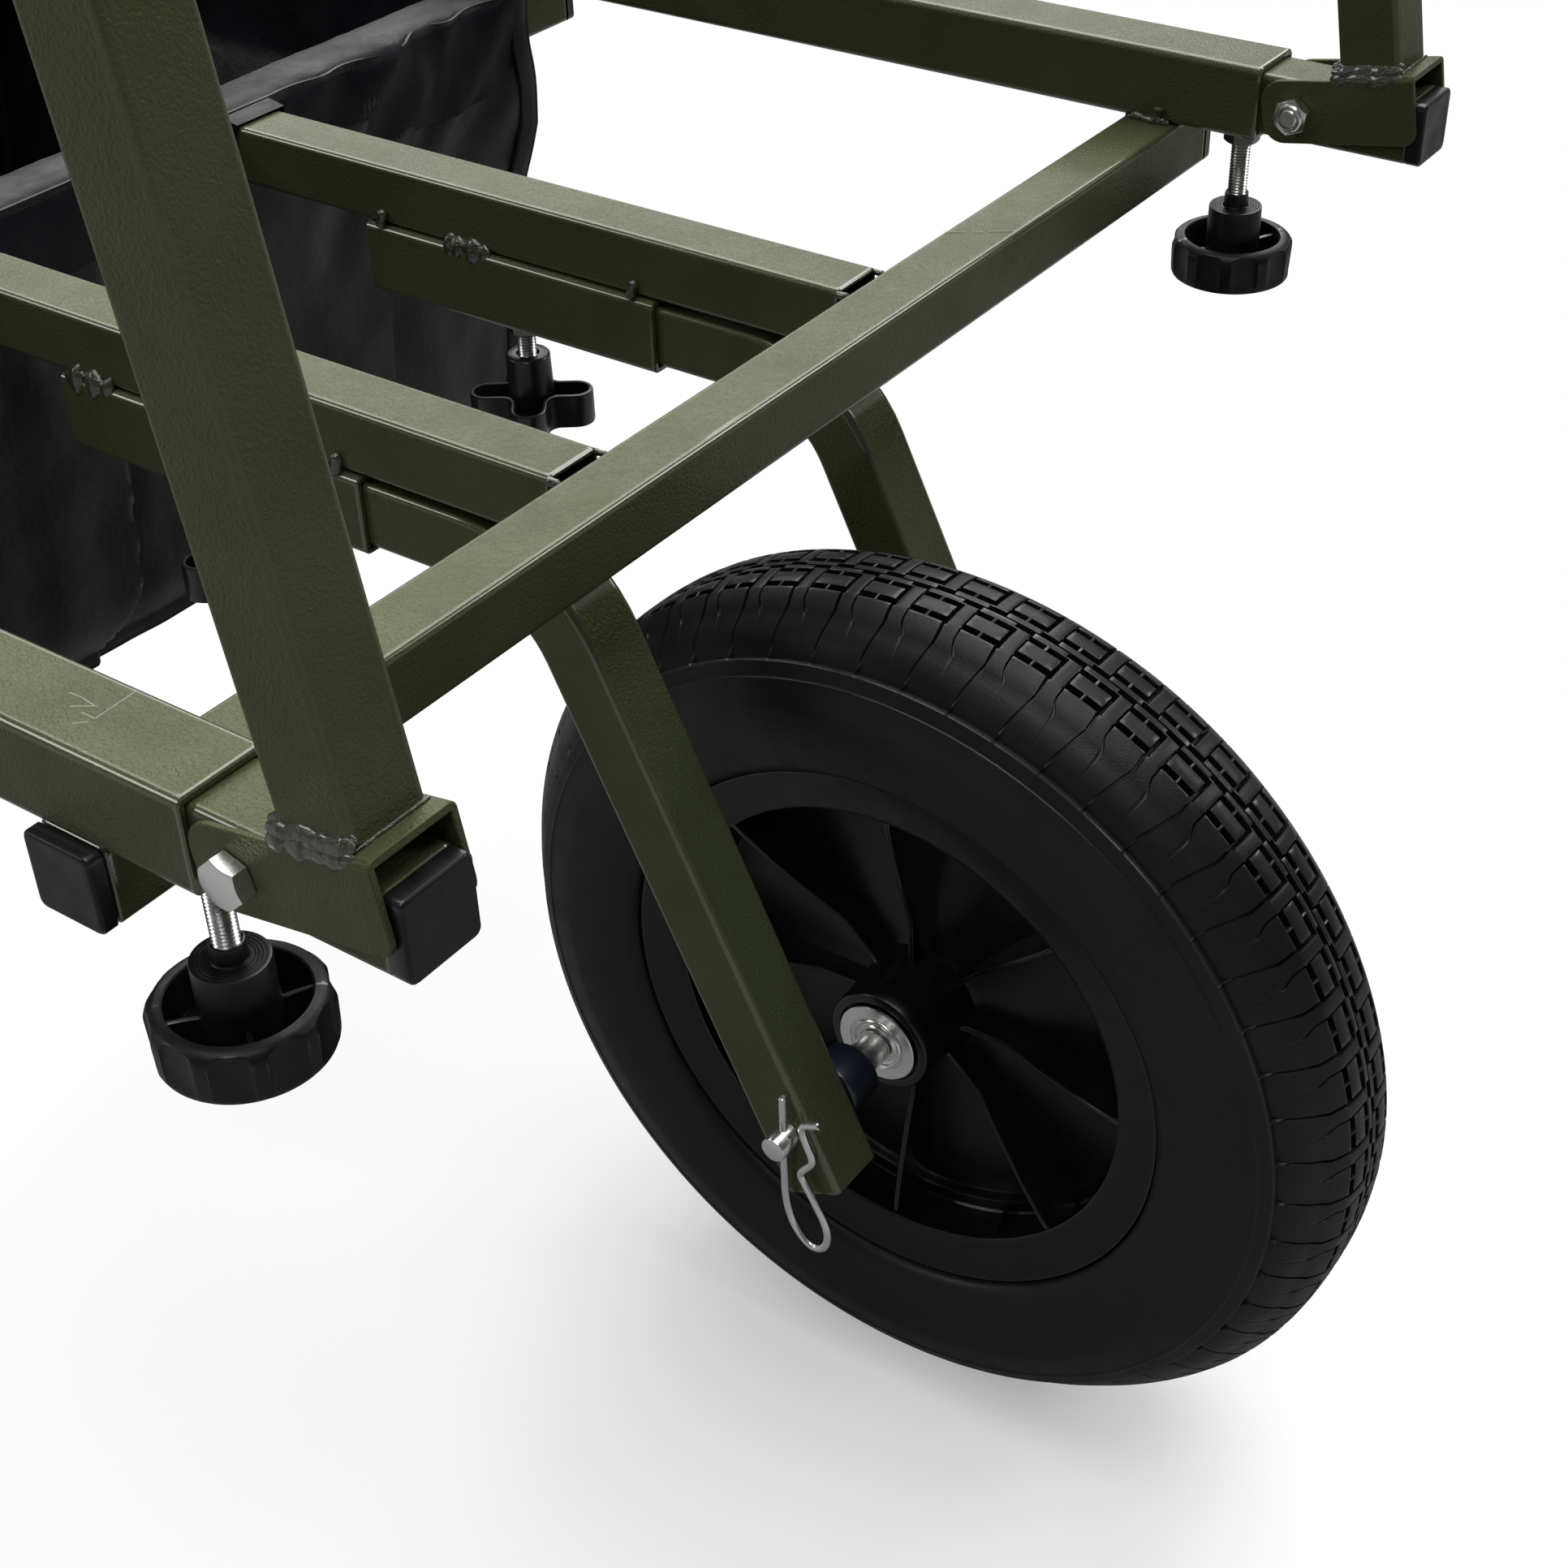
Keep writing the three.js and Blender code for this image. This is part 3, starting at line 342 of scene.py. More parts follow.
def new_piece(name, vertices, faces, material, body, replaced=(), sharp=SHARP):
    """A piece that rides a body and stands in for the solids it replaces; edges over sharp stay hard."""
    mesh = bpy.data.meshes.new(name)
    mesh.from_pydata([tuple(vertex) for vertex in vertices], [], faces)
    turned = bmesh.new()
    turned.from_mesh(mesh)
    bmesh.ops.recalc_face_normals(turned, faces=turned.faces)
    turned.to_mesh(mesh)
    turned.free()
    mesh.shade_smooth()
    mesh.set_sharp_from_angle(angle=sharp)
    mesh.materials.append(material)
    piece = bpy.data.objects.new(name, mesh)
    bpy.context.scene.collection.objects.link(piece)
    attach(piece, body)
    if replaced:
        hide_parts(*replaced)
    return piece


class Shell:
    """Vertices and faces gathered from several simple bodies into one mesh."""

    def __init__(self):
        self.vertices = []
        self.faces = []

    def add(self, vertices, faces, place=None):
        start = len(self.vertices)
        for vertex in vertices:
            point = Vector(vertex)
            self.vertices.append(place @ point if place else point)
        self.faces.extend(tuple(start + corner for corner in face) for face in faces)

    def rings(self, rings, place=None, closed=False):
        """Joins rings of equal count, one after another; open ends get a flat face."""
        count = len(rings[0])
        vertices = [point for ring in rings for point in ring]
        faces = []
        spans = len(rings) if closed else len(rings) - 1
        for level in range(spans):
            low = level * count
            high = ((level + 1) % len(rings)) * count
            for i in range(count):
                j = (i + 1) % count
                faces.append((low + i, low + j, high + j, high + i))
        if not closed:
            faces.append(tuple(range(count))[::-1])
            faces.append(tuple(range(len(vertices) - count, len(vertices))))
        self.add(vertices, faces, place)

    def lathe(self, profile, place, columns=48):
        """Turns a profile of (radius, height) about Z; it starts and ends on the axis or closes."""
        closed = profile[0][0] > 0
        rings = []
        for radius, height in profile:
            # A ring on the axis keeps a tiny size, so that every ring has as many points.
            rings.append(disc(radius or 1e-6, height, columns))
        self.rings(rings, place, closed)

    def piece(self, name, material, body, replaced=(), sharp=SHARP):
        return new_piece(name, self.vertices, self.faces, material, body, replaced, sharp)


def circle(count):
    return [2 * math.pi * i / count for i in range(count)]


def disc(radius, height, columns):
    return [(radius * math.cos(a), radius * math.sin(a), height) for a in circle(columns)]


def in_mm(profile):
    return [(radius * MM, height * MM) for radius, height in profile]


def raised(outline, height):
    return [(x, y, height) for x, y in outline]


def rib(shell, turn, sections, place):
    """A plate that stands out from the Z axis, turned about it, through (reach, outline) in millimetres."""
    spin = Matrix.Rotation(turn, 3, "Z")
    rings = [[spin @ Vector((reach, y, z)) * MM for y, z in outline] for reach, outline in sections]
    shell.rings(rings, place)


def square_ring(size, corner):
    """A rounded square, anticlockwise, as (across, up) points.

    Two guard points on the flats beside each corner keep its shine off the flats.
    """
    steps = CORNER_STEPS
    flat = size / 2 - corner
    beside = min(0.5 * MM, flat / 4)
    points = []
    for quarter, (sx, sy) in enumerate(((1, 1), (-1, 1), (-1, -1), (1, -1))):
        for step in range(-2, steps + 3):
            angle = (quarter + min(max(step, 0), steps) / steps) * math.pi / 2
            slide = beside * (max(step - steps, 0) + min(step, 0))
            x = sx * flat + corner * math.cos(angle) - slide * math.sin(angle)
            y = sy * flat + corner * math.sin(angle) + slide * math.cos(angle)
            points.append((x, y))
    return points


def swept_tube(shell, stations, section):
    """A hollow square tube along stations of (centre, across, up), with eased cut edges."""
    size, wall, corner, lip = section["size"], section["wall"], section["corner"], 0.5 * MM
    outer = square_ring(size, corner)
    eased = square_ring(size - 2 * lip, corner - lip / 2)
    inner = square_ring(size - 2 * wall, max(corner - wall, 0.6 * MM))

    def ring(station, outline, shift=0.0):
        centre, across, up = station
        along = across.cross(up)
        return [centre + across * x + up * y + along * shift for x, y in outline]

    first, last = stations[0], stations[-1]
    forward = 1 if (last[0] - first[0]).dot(first[1].cross(first[2])) > 0 or len(stations) > 2 else -1
    # The rings beside each end keep the shine of the cut edge from running along the flats.
    shifts = [forward * reach for reach in (lip, lip + 1 * MM, lip + 2 * MM)]
    rings = [ring(first, eased)] + [ring(first, outer, shift) for shift in shifts]
    rings += [ring(station, outer) for station in stations[1:-1]]
    rings += [ring(last, outer, -shift) for shift in reversed(shifts)] + [ring(last, eased)]
    rings += [ring(station, inner) for station in reversed(stations)]
    shell.rings(rings, closed=True)


def straight_stations(start, end):
    along = (end - start).normalized()
    up = Vector((0, 0, 1)) if abs(along.z) < 0.5 else Vector((1, 0, 0))
    across = up.cross(along)
    return [(start, across, up), (end, across, up)]


def bent_stations(corners, radius, normal, steps=10):
    """Stations of a flat route through corner points, each corner rounded to a radius."""
    stations = []

    def add(point, along):
        stations.append((point, normal.cross(along), normal))

    for i, corner in enumerate(corners):
        if i in (0, len(corners) - 1):
            other = corners[1] - corner if i == 0 else corner - corners[-2]
            add(corner, other.normalized())
            continue
        into = (corner - corners[i - 1]).normalized()
        out = (corners[i + 1] - corner).normalized()
        turn = into.angle(out)
        centre = corner + (out - into).normalized() * (radius / math.cos(turn / 2))
        start = corner - into * (radius * math.tan(turn / 2))
        axis = into.cross(out).normalized()
        for step in range(steps + 1):
            rotation = Matrix.Rotation(turn * step / steps, 3, axis)
            add(centre + rotation @ (start - centre), rotation @ into)
    return stations


def tube_between(node, axis, section, name, material, body, flush=None, short=0.0):
    """Replaces a straight tube's solid by a hollow one with true corners, its far end cut short.

    A solid that has a nut under it is thicker than its tube, which lies at its high face along flush.
    """
    low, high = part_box(node)
    middle = (low + high) / 2
    if flush is not None:
        middle[flush] = high[flush] - section["size"] / 2
    start, end = middle.copy(), middle.copy()
    start[axis], end[axis] = low[axis], high[axis] - short
    shell = Shell()
    swept_tube(shell, straight_stations(start, end), section)
    shell.piece(name, material, body, (node,))


def round_bar(shell, radius, low, high, place, ease):
    """A plain shank along Z with rounded ends."""
    profile = [(0, low), (radius - ease, low), (radius, low + ease)]
    profile += [(radius, high - ease), (radius - ease, high), (0, high)]
    shell.lathe(profile, place, 24)


def threaded_rod(shell, radius, low, high, place):
    """A rod whose thread is drawn as rings of crests and roots."""
    pitch, depth, columns = 1.25 * MM, 0.6 * MM, 18
    profile = [(0, low)]
    turns = max(1, int((high - low) / pitch))
    for i in range(turns):
        height = low + pitch * i
        profile += [(radius - depth, height), (radius, height + pitch / 2)]
    end = low + pitch * turns
    profile += [(radius - depth, end), (0, end)]
    shell.lathe(profile, place, columns)


def weld(shell, points, width, seed, lift=0.35, out=None, flat=0.4):
    """A lumpy bead of weld along points, built of overlapping ripples; with out it lies flat, facing out."""
    spacing, ripple_length, columns = 0.9 * MM, 1.7 * MM, 12
    points = [Vector(point) for point in points]
    length = sum((b - a).length for a, b in zip(points, points[1:]))
    steps = max(6, int(length / spacing))
    rings = []
    for step in range(steps + 1):
        travelled = length * step / steps
        centre, along = points[-1], (points[-1] - points[-2]).normalized()
        for a, b in zip(points, points[1:]):
            part = (b - a).length
            if travelled <= part:
                centre, along = a + (b - a).normalized() * travelled, (b - a).normalized()
                break
            travelled -= part
        side = along.cross(out).normalized() if out else along.orthogonal().normalized()
        up = side.cross(along) * (flat if out else 1)
        share = step / steps
        taper = min(1.0, 5 * share + 0.35, 5 * (1 - share) + 0.35)
        swell = noise.noise(Vector((seed, length * share * 220, 0)))
        ripple = 0.10 * abs(math.sin(length * share / ripple_length * math.pi / 2))
        radius = width / 2 * taper * (0.86 + lift * swell + ripple)
        wander = side * noise.noise(Vector((seed + 9, length * share * 120, 0))) * width * 0.12
        ring = []
        for angle in circle(columns):
            point = (side * math.cos(angle) + up * math.sin(angle)) * radius
            lump = noise.noise((centre + point) * 300 + Vector((seed, 0, 0)))
            ring.append(centre + wander + point * (1 + 0.5 * lift * lump))
        rings.append(ring)
    shell.rings(rings)


# Frame tubes


class TROLLEY_OT_frame_tubes(bpy.types.Operator):
    """Painted square tubes of the deck, sockets, legs and handles"""

    bl_idname = "trolley.frame_tubes"
    bl_label = "Frame tubes"

    # Strokes scratched into the coat, as (x, y) points seen from the front crossbar, with their height.
    scratches = (
        (30, ((-22.9, -288.2), (-18.4, -287.9), (-12.9, -288.7))),
        (30, ((-17.9, -292.3), (-11.9, -288.3))),
        (30, ((-13.3, -292.6), (-8.3, -292.5), (-8.9, -278.3))),
        (30, ((-11.5, -297.2), (-8.6, -294.4))),
        (0, ((-24.3, 133.7), (-17.4, 138.4))),
        (0, ((-14.6, 140.2), (-11.3, 141.7))),
        (0, ((-10.0, 143.3), (-2.5, 148.6))),
    )

    def execute(self, context):
        along_x = coat_material("coat_along_x", 0)
        along_y = coat_material("coat_along_y", 1)
        plain = coat_material("coat_plain")
        x, y, z = range(3)
        for where in ("front", "mid", "rear"):
            tube_between(f"{where}_crossbar", y, TUBE, f"{where}_crossbar_tube", along_y, "chassis")
        for side, _ in SIDES:
            tube_between(f"side_rail_{side}", x, RAIL, f"outer_rail_{side}", along_x, "chassis", z)
            tube_between(f"inner_rail_{side}", x, TUBE, f"inner_tube_{side}", along_x, "chassis", short=NIB)
            tube_between(f"fork_socket_{side}", x, RAIL, f"socket_tube_{side}", plain, "chassis", z)
            tube_between(f"leg_socket_{side}", z, RAIL, f"leg_sleeve_{side}", plain, "chassis", x)
            tube_between(f"front_tube_{side}", x, TUBE, f"sliding_tube_{side}", plain, "front_extension")
            tube_between(f"handle_tube_{side}", x, TUBE, f"handle_bar_{side}", plain, f"handle_{side}")
            tube_between(f"rear_leg_{side}", z, TUBE, f"leg_tube_{side}", plain, f"rear_leg_{side}")
        self.strokes()
        return {"FINISHED"}

    def strokes(self):
        """The pale strokes, as flat bars set into the coat."""
        shell = Shell()
        half_width = 0.14 * MM
        lift = Vector((0, 0, 0.03 * MM))
        for height, points in self.scratches:
            line = [from_front(x, y, height) for x, y in points]
            for start, end in zip(line, line[1:]):
                along = (end - start).normalized()
                aside = Vector((along.y, -along.x, 0)) * half_width
                corners = (-aside - lift, aside - lift, aside + lift, lift - aside)
                shell.rings([[point + corner for corner in corners] for point in (start, end)])
        nodes = Nodes("bare_scratch")
        base = nodes.mixed(nodes.noise(900, 2), (0.15, 0.15, 0.12), (0.42, 0.42, 0.36))
        normal = nodes.bump(nodes.noise(2500, 2), 0.05 * MM)
        material = nodes.finish(base, nodes.patchy(400, (0.4, 0.6), 2), normal)
        shell.piece("coat_scratches", material, "chassis")


class TROLLEY_OT_fork_legs(bpy.types.Operator):
    """The two bent legs that carry the wheel"""

    bl_idname = "trolley.fork_legs"
    bl_label = "Fork legs"

    lean: bpy.props.FloatProperty(
        name="Lean",
        description="Angle of a leg from upright",
        default=math.radians(25.5),
        subtype="ANGLE",
        unit="ROTATION",
    )
    bend: bpy.props.FloatProperty(
        name="Bend radius",
        description="Radius of the bend's centre line",
        default=50 * MM,
        subtype="DISTANCE",
        unit="LENGTH",
    )

    def execute(self, context):
        material = coat_material("coat_fork")
        setback, past_axle = 2 * MM, 28 * MM
        down = Vector((math.sin(self.lean), 0, -math.cos(self.lean)))
        for side, sign in SIDES:
            y = sign * INNER_Y
            low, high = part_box(f"fork_leg_{side}")
            run_z = high.z - TUBE["size"] / 2
            beside_axle = Vector((AXLE.x - setback, y, AXLE.z))
            bend_x = beside_axle.x - (run_z - AXLE.z) * math.tan(self.lean)
            corners = [Vector((low.x, y, run_z)), Vector((bend_x, y, run_z)), beside_axle + down * past_axle]
            shell = Shell()
            swept_tube(shell, bent_stations(corners, self.bend, Vector((0, 1, 0))), TUBE)
            piece = shell.piece(f"fork_leg_tube_{side}", material, "fork", (f"fork_leg_{side}",))
        return {"FINISHED"}


# Folding hoop

HOOP_LEAN = math.radians(10)
HOOP_HEIGHT = 300 * MM
HOOP_CORNER = 60 * MM
UPRIGHT_AHEAD = 31 * MM  # from the pivot to the middle of an upright
PLATE = 2.2 * MM  # sheet of the brackets
WEB_UNDER = TUBE["size"] / 2 + 0.3 * MM
EAR_INSIDE = TUBE["size"] / 2 + 0.4 * MM
UPRIGHT_FOOT = WEB_UNDER + PLATE + 0.3 * MM


def hoop_place(y=0.0):
    """From the hoop's own axes, with its uprights along Z, to where it stands."""
    place = Matrix.Translation(Vector((PIVOT.x, 0, PIVOT.z))) @ Matrix.Rotation(-HOOP_LEAN, 4, "Y")
    return place @ Matrix.Translation(Vector((0, y, 0)))


class TROLLEY_OT_hoop(bpy.types.Operator):
    """The bent hoop tube and its two folded steel brackets"""

    bl_idname = "trolley.hoop"
    bl_label = "Folding hoop"

    def execute(self, context):
        material = coat_material("coat_hoop", edge_coat=0.35)
        sheet = coat_material("coat_sheet", edge_coat=0.06)
        place = hoop_place()
        right = [(-RAIL_Y, UPRIGHT_FOOT), (-RAIL_Y, HOOP_HEIGHT)]
        left = [(RAIL_Y, HOOP_HEIGHT), (RAIL_Y, UPRIGHT_FOOT)]
        corners = [place @ Vector((UPRIGHT_AHEAD, y, z)) for y, z in right + left]
        normal = place.to_3x3() @ Vector((1, 0, 0))
        shell = Shell()
        swept_tube(shell, bent_stations(corners, HOOP_CORNER, normal, 14), TUBE)
        shell.piece("hoop_bent_tube", material, "hoop", ("hoop_tube",))
        for side, sign in SIDES:
            self.bracket(side, sign, sheet)
        return {"FINISHED"}

    def bracket(self, side, sign, material):
        """One sheet folded over the front tube: two ears and the web between them."""
        rear, front, drop = -14.5 * MM, 50 * MM, -12 * MM
        rear_corner, front_corner, ease = 9 * MM, 5 * MM, 0.35 * MM
        top = WEB_UNDER + PLATE * 0.2
        shell = Shell()
        outline = []

        def arc(cx, cz, radius, start, end, steps=7):
            for i in range(steps + 1):
                angle = math.radians(start + (end - start) * i / steps)
                outline.append((cx + radius * math.cos(angle), cz + radius * math.sin(angle)))

        arc(rear + rear_corner, drop + rear_corner, rear_corner, 180, 270)
        arc(front - front_corner, drop + front_corner, front_corner, 270, 360)
        outline.append((front, top))
        arc(rear + rear_corner, top - rear_corner, rear_corner, 90, 180)
        place = hoop_place(sign * RAIL_Y)
        for face in (-1, 1):
            rings = []
            for depth, shrink in ((0, ease), (ease, 0), (PLATE - ease, 0), (PLATE, ease)):
                y = face * (EAR_INSIDE + depth)
                rings.append([self.eased(point, shrink, rear, front, drop, top, y) for point in outline])
            shell.rings(rings, place)
        self.web(shell, front, place)
        piece = shell.piece(f"hoop_saddle_{side}", material, "hoop", (f"hoop_bracket_{side}",))

    @staticmethod
    def web(shell, front, place):
        """The top of the folded sheet, rounded over at both sides."""
        rear = UPRIGHT_AHEAD - TUBE["size"] / 2 - 2 * MM
        radius, steps, ease = PLATE * 1.1, 6, 0.4 * MM
        flat = EAR_INSIDE + PLATE - radius
        fold = []
        for start, shift in ((0, flat), (90, -flat)):
            for i in range(steps + 1):
                angle = math.radians(start + 90 * i / steps)
                height = WEB_UNDER + PLATE - radius + radius * math.sin(angle)
                fold.append((shift + radius * math.cos(angle), height))
        middle = WEB_UNDER + PLATE / 2
        rings = []
        for x, shrink in ((rear, ease), (rear + ease, 0), (front - ease, 0), (front, ease)):
            across, up = 1 - shrink / EAR_INSIDE, 1 - shrink / PLATE
            rings.append([(x, y * across, middle + (z - middle) * up) for y, z in fold])
        shell.rings(rings, place)

    @staticmethod
    def eased(point, ease, rear, front, drop, top, y):
        """A point of an ear's outline, drawn in towards the middle by ease."""
        x, z = point
        middle_x, middle_z = (rear + front) / 2, (drop + top) / 2
        x -= math.copysign(min(ease, abs(x - middle_x)), x - middle_x)
        z -= math.copysign(min(ease, abs(z - middle_z)), z - middle_z)
        return (x, y, z)


# Fasteners, caps and knobs


def from_front(x, y, z):
    """A place given ahead of the front crossbar, across, and above the deck, in millimetres."""
    return Vector((FRONT + x * MM, y * MM, DECK + z * MM))


def upright(x, y, z):
    return Matrix.Translation(from_front(x, y, z))


def sideways(centre, sign, turn=0.0):
    """Turns +Z to point across the trolley: to its left for sign +1 and to its right for -1."""
    across = Matrix.Rotation(-sign * math.pi / 2, 4, "X")
    return Matrix.Translation(centre) @ across @ Matrix.Rotation(turn, 4, "Z")


def lengthways(centre):
    """Turns +Z to point towards the wheel."""
    return Matrix.Translation(centre) @ Matrix.Rotation(math.pi / 2, 4, "Y")


def edged_cap(shell, size, corner, depth, edge, place, dish=0.3 * MM):
    """A moulded square head along +Z with a rolled edge and a faintly dished face."""
    rings = [(size, corner, 0), (size, corner, depth - edge)]
    for share in (0.28, 0.58, 0.83, 0.98):
        angle = share / 0.98 * math.pi / 2
        inset = edge * (1 - math.cos(angle))
        rings.append((size - 2 * inset, corner + inset * 0.2, depth - edge + edge * math.sin(angle)))
    rings.append((size - 2 * edge - 3 * MM, corner, depth - dish * 0.2))
    rings.append((size * 0.4, corner, depth - dish))
    outlines = [raised(square_ring(width, min(bend, width / 2.2)), rise) for width, bend, rise in rings]
    shell.rings(outlines, place)


def stem(shell, size, length, place):
    """The part of a cap that stands in the tube."""
    shell.rings([raised(square_ring(size, 1 * MM), height) for height in (-length, 1 * MM)], place)


class TROLLEY_OT_caps(bpy.types.Operator):
    """Moulded caps of the crossbars and plugs of the front tubes"""

    bl_idname = "trolley.caps"
    bl_label = "Caps and plugs"

    def execute(self, context):
        material = plastic_material("cap_plastic", rough=(0.3, 0.46), grain=0.04 * MM)
        size, corner = TUBE["size"], TUBE["corner"]
        inside = size - 2 * TUBE["wall"] - 0.6 * MM
        cap_depth, plug_depth = 5 * MM, 6 * MM
        for where in ("front", "mid", "rear"):
            for side, sign in SIDES:
                node = f"{where}_crossbar_cap_{side}"
                low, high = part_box(node)
                middle = (low + high) / 2
                outer = high.y if sign > 0 else low.y
                place = sideways(Vector((middle.x, outer - sign * cap_depth, middle.z)), sign)
                shell = Shell()
                edged_cap(shell, size, corner, cap_depth, 1.2 * MM, place)
                stem(shell, inside, 19 * MM, place)
                piece = shell.piece(f"{where}_end_cap_{side}", material, "chassis", (node,))
        for side, sign in SIDES:
            low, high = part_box(f"front_plug_{side}")
            place = lengthways(Vector((high.x - plug_depth, sign * RAIL_Y, (low.z + high.z) / 2)))
            shell = Shell()
            edged_cap(shell, size, corner, plug_depth, 1.1 * MM, place, 0.5 * MM)
            stem(shell, inside, 18 * MM, place)
            node = f"front_plug_{side}"
            piece = shell.piece(f"front_end_plug_{side}", material, "front_extension", (node,))
        return {"FINISHED"}


class TROLLEY_OT_fasteners(bpy.types.Operator):
    """Hinge bolts with their lock nuts, clamp screws and the nuts welded to the tubes"""

    bl_idname = "trolley.fasteners"
    bl_label = "Bolts, nuts and screws"

    def execute(self, context):
        bright = zinc_material("bright_zinc")
        painted = coat_material("coat_nuts")
        face = EAR_INSIDE + PLATE
        for side, sign in SIDES:
            centre = Vector((PIVOT.x, sign * RAIL_Y, PIVOT.z))
            out = sideways(centre, sign, math.radians(14))
            shell = Shell()
            hexagon(shell, NUT_ACROSS, face + 0.3 * MM, face + 5.6 * MM, out, chamfers=(False, True))
            round_bar(shell, SCREW_RADIUS, -face - 6.8 * MM, face + MM, out, 0.9 * MM)
            piece = shell.piece(f"hinge_bolt_{side}", bright, "front_extension", (f"pivot_bolt_{side}",))
            inward = sideways(centre, -sign, math.radians(-9))
            shell = Shell()
            hexagon(shell, NUT_ACROSS, face + 0.3 * MM, face + 5.3 * MM, inward, chamfers=(True, True))
            # The nut's collar holds the locking ring.
            collar = [(4.3, 5.2), (5.6, 5.2), (5.6, 5.9), (5.0, 6.5), (4.3, 6.6)]
            shell.lathe([(r * MM, face + h * MM) for r, h in collar], inward, 32)
            piece = shell.piece(f"lock_nut_{side}", bright, "front_extension", (f"pivot_nut_{side}",))
            self.weld_nuts(side, sign, painted)
            for name in ("front", "fork"):
                node = f"{name}_clamp_screw_{side}"
                low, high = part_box(node)
                shell = Shell()
                place = Matrix.Translation(Vector(((low.x + high.x) / 2, (low.y + high.y) / 2, 0)))
                threaded_rod(shell, SCREW_RADIUS, low.z, high.z, place)
                piece = shell.piece(f"{name}_clamp_rod_{side}", bright, f"{name}_clamp_{side}", (node,))
        return {"FINISHED"}

    def weld_nuts(self, side, sign, material):
        """Nuts under the rails, the fork sockets and behind the leg sockets, each with a ring of weld."""
        shell = Shell()
        front_clamp, handle_clamp, fork_clamp, socket_under = 23, -782, -194, -55.7
        bead_radius, bead_width = 7.6 * MM, 2.6 * MM
        places = [upright(x, sign * RAIL_MIDDLE, 0.4) for x in (front_clamp, handle_clamp)]
        places.append(upright(fork_clamp, sign * INNER_MIDDLE, socket_under))
        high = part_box(f"leg_socket_{side}")[1]
        knob = JOINTS[f"leg_clamp_turn_{side}"]["pos_m"]
        places.append(lengthways(Vector((high.x - RAIL["size"] + 0.4 * MM, knob[1], knob[2]))))
        for number, place in enumerate(places):
            down = place @ Matrix.Rotation(math.pi, 4, "X")
            bored_nut(shell, NUT_ACROSS, 0, 6.9 * MM, 4.3 * MM, down)
            ring = [down @ Vector(point) for point in disc(bead_radius, 0.6 * MM, 18)]
            weld(shell, ring + ring[:1], bead_width, number + 3 * sign)
        shell.piece(f"weld_nuts_{side}", material, "chassis")


HEX_COLUMNS = 48
CHAMFER_REACH = 0.97  # where the chamfer's cone starts, as a share of the distance to a flat


def hex_ring(flat, height, chamfer=0):
    """A hexagon's outline, its corners turned down by a cone: up at chamfer -1, down at chamfer 1."""
    points = []
    for angle in circle(HEX_COLUMNS):
        size = flat / math.cos((angle + math.pi / 6) % (math.pi / 3) - math.pi / 6)
        drop = (size - flat * CHAMFER_REACH) * math.tan(math.radians(30))
        points.append((size * math.cos(angle), size * math.sin(angle), height - chamfer * drop))
    return points


def hexagon(shell, across, low, high, place, chamfers):
    """A hexagon head or nut along Z, chamfered at its lower end, its upper end or both."""
    flat = across / 2
    below, above = chamfers
    rings = [
        disc(flat * CHAMFER_REACH if below else flat, low, HEX_COLUMNS),
        hex_ring(flat, low, -1 if below else 0),
        hex_ring(flat, high, 1 if above else 0),
        disc(flat * CHAMFER_REACH if above else flat, high, HEX_COLUMNS),
    ]
    shell.rings(rings, place)


def bored_nut(shell, across, low, high, bore, place):
    """A nut with an open bore, chamfered at its free end."""
    flat, ease = across / 2, 0.5 * MM
    rings = [hex_ring(flat, low), hex_ring(flat, high, 1)]
    discs = ((flat * CHAMFER_REACH, high), (bore + ease, high), (bore, high - ease), (bore, low))
    rings += [disc(radius, height, HEX_COLUMNS) for radius, height in discs]
    shell.rings(rings, place, closed=True)


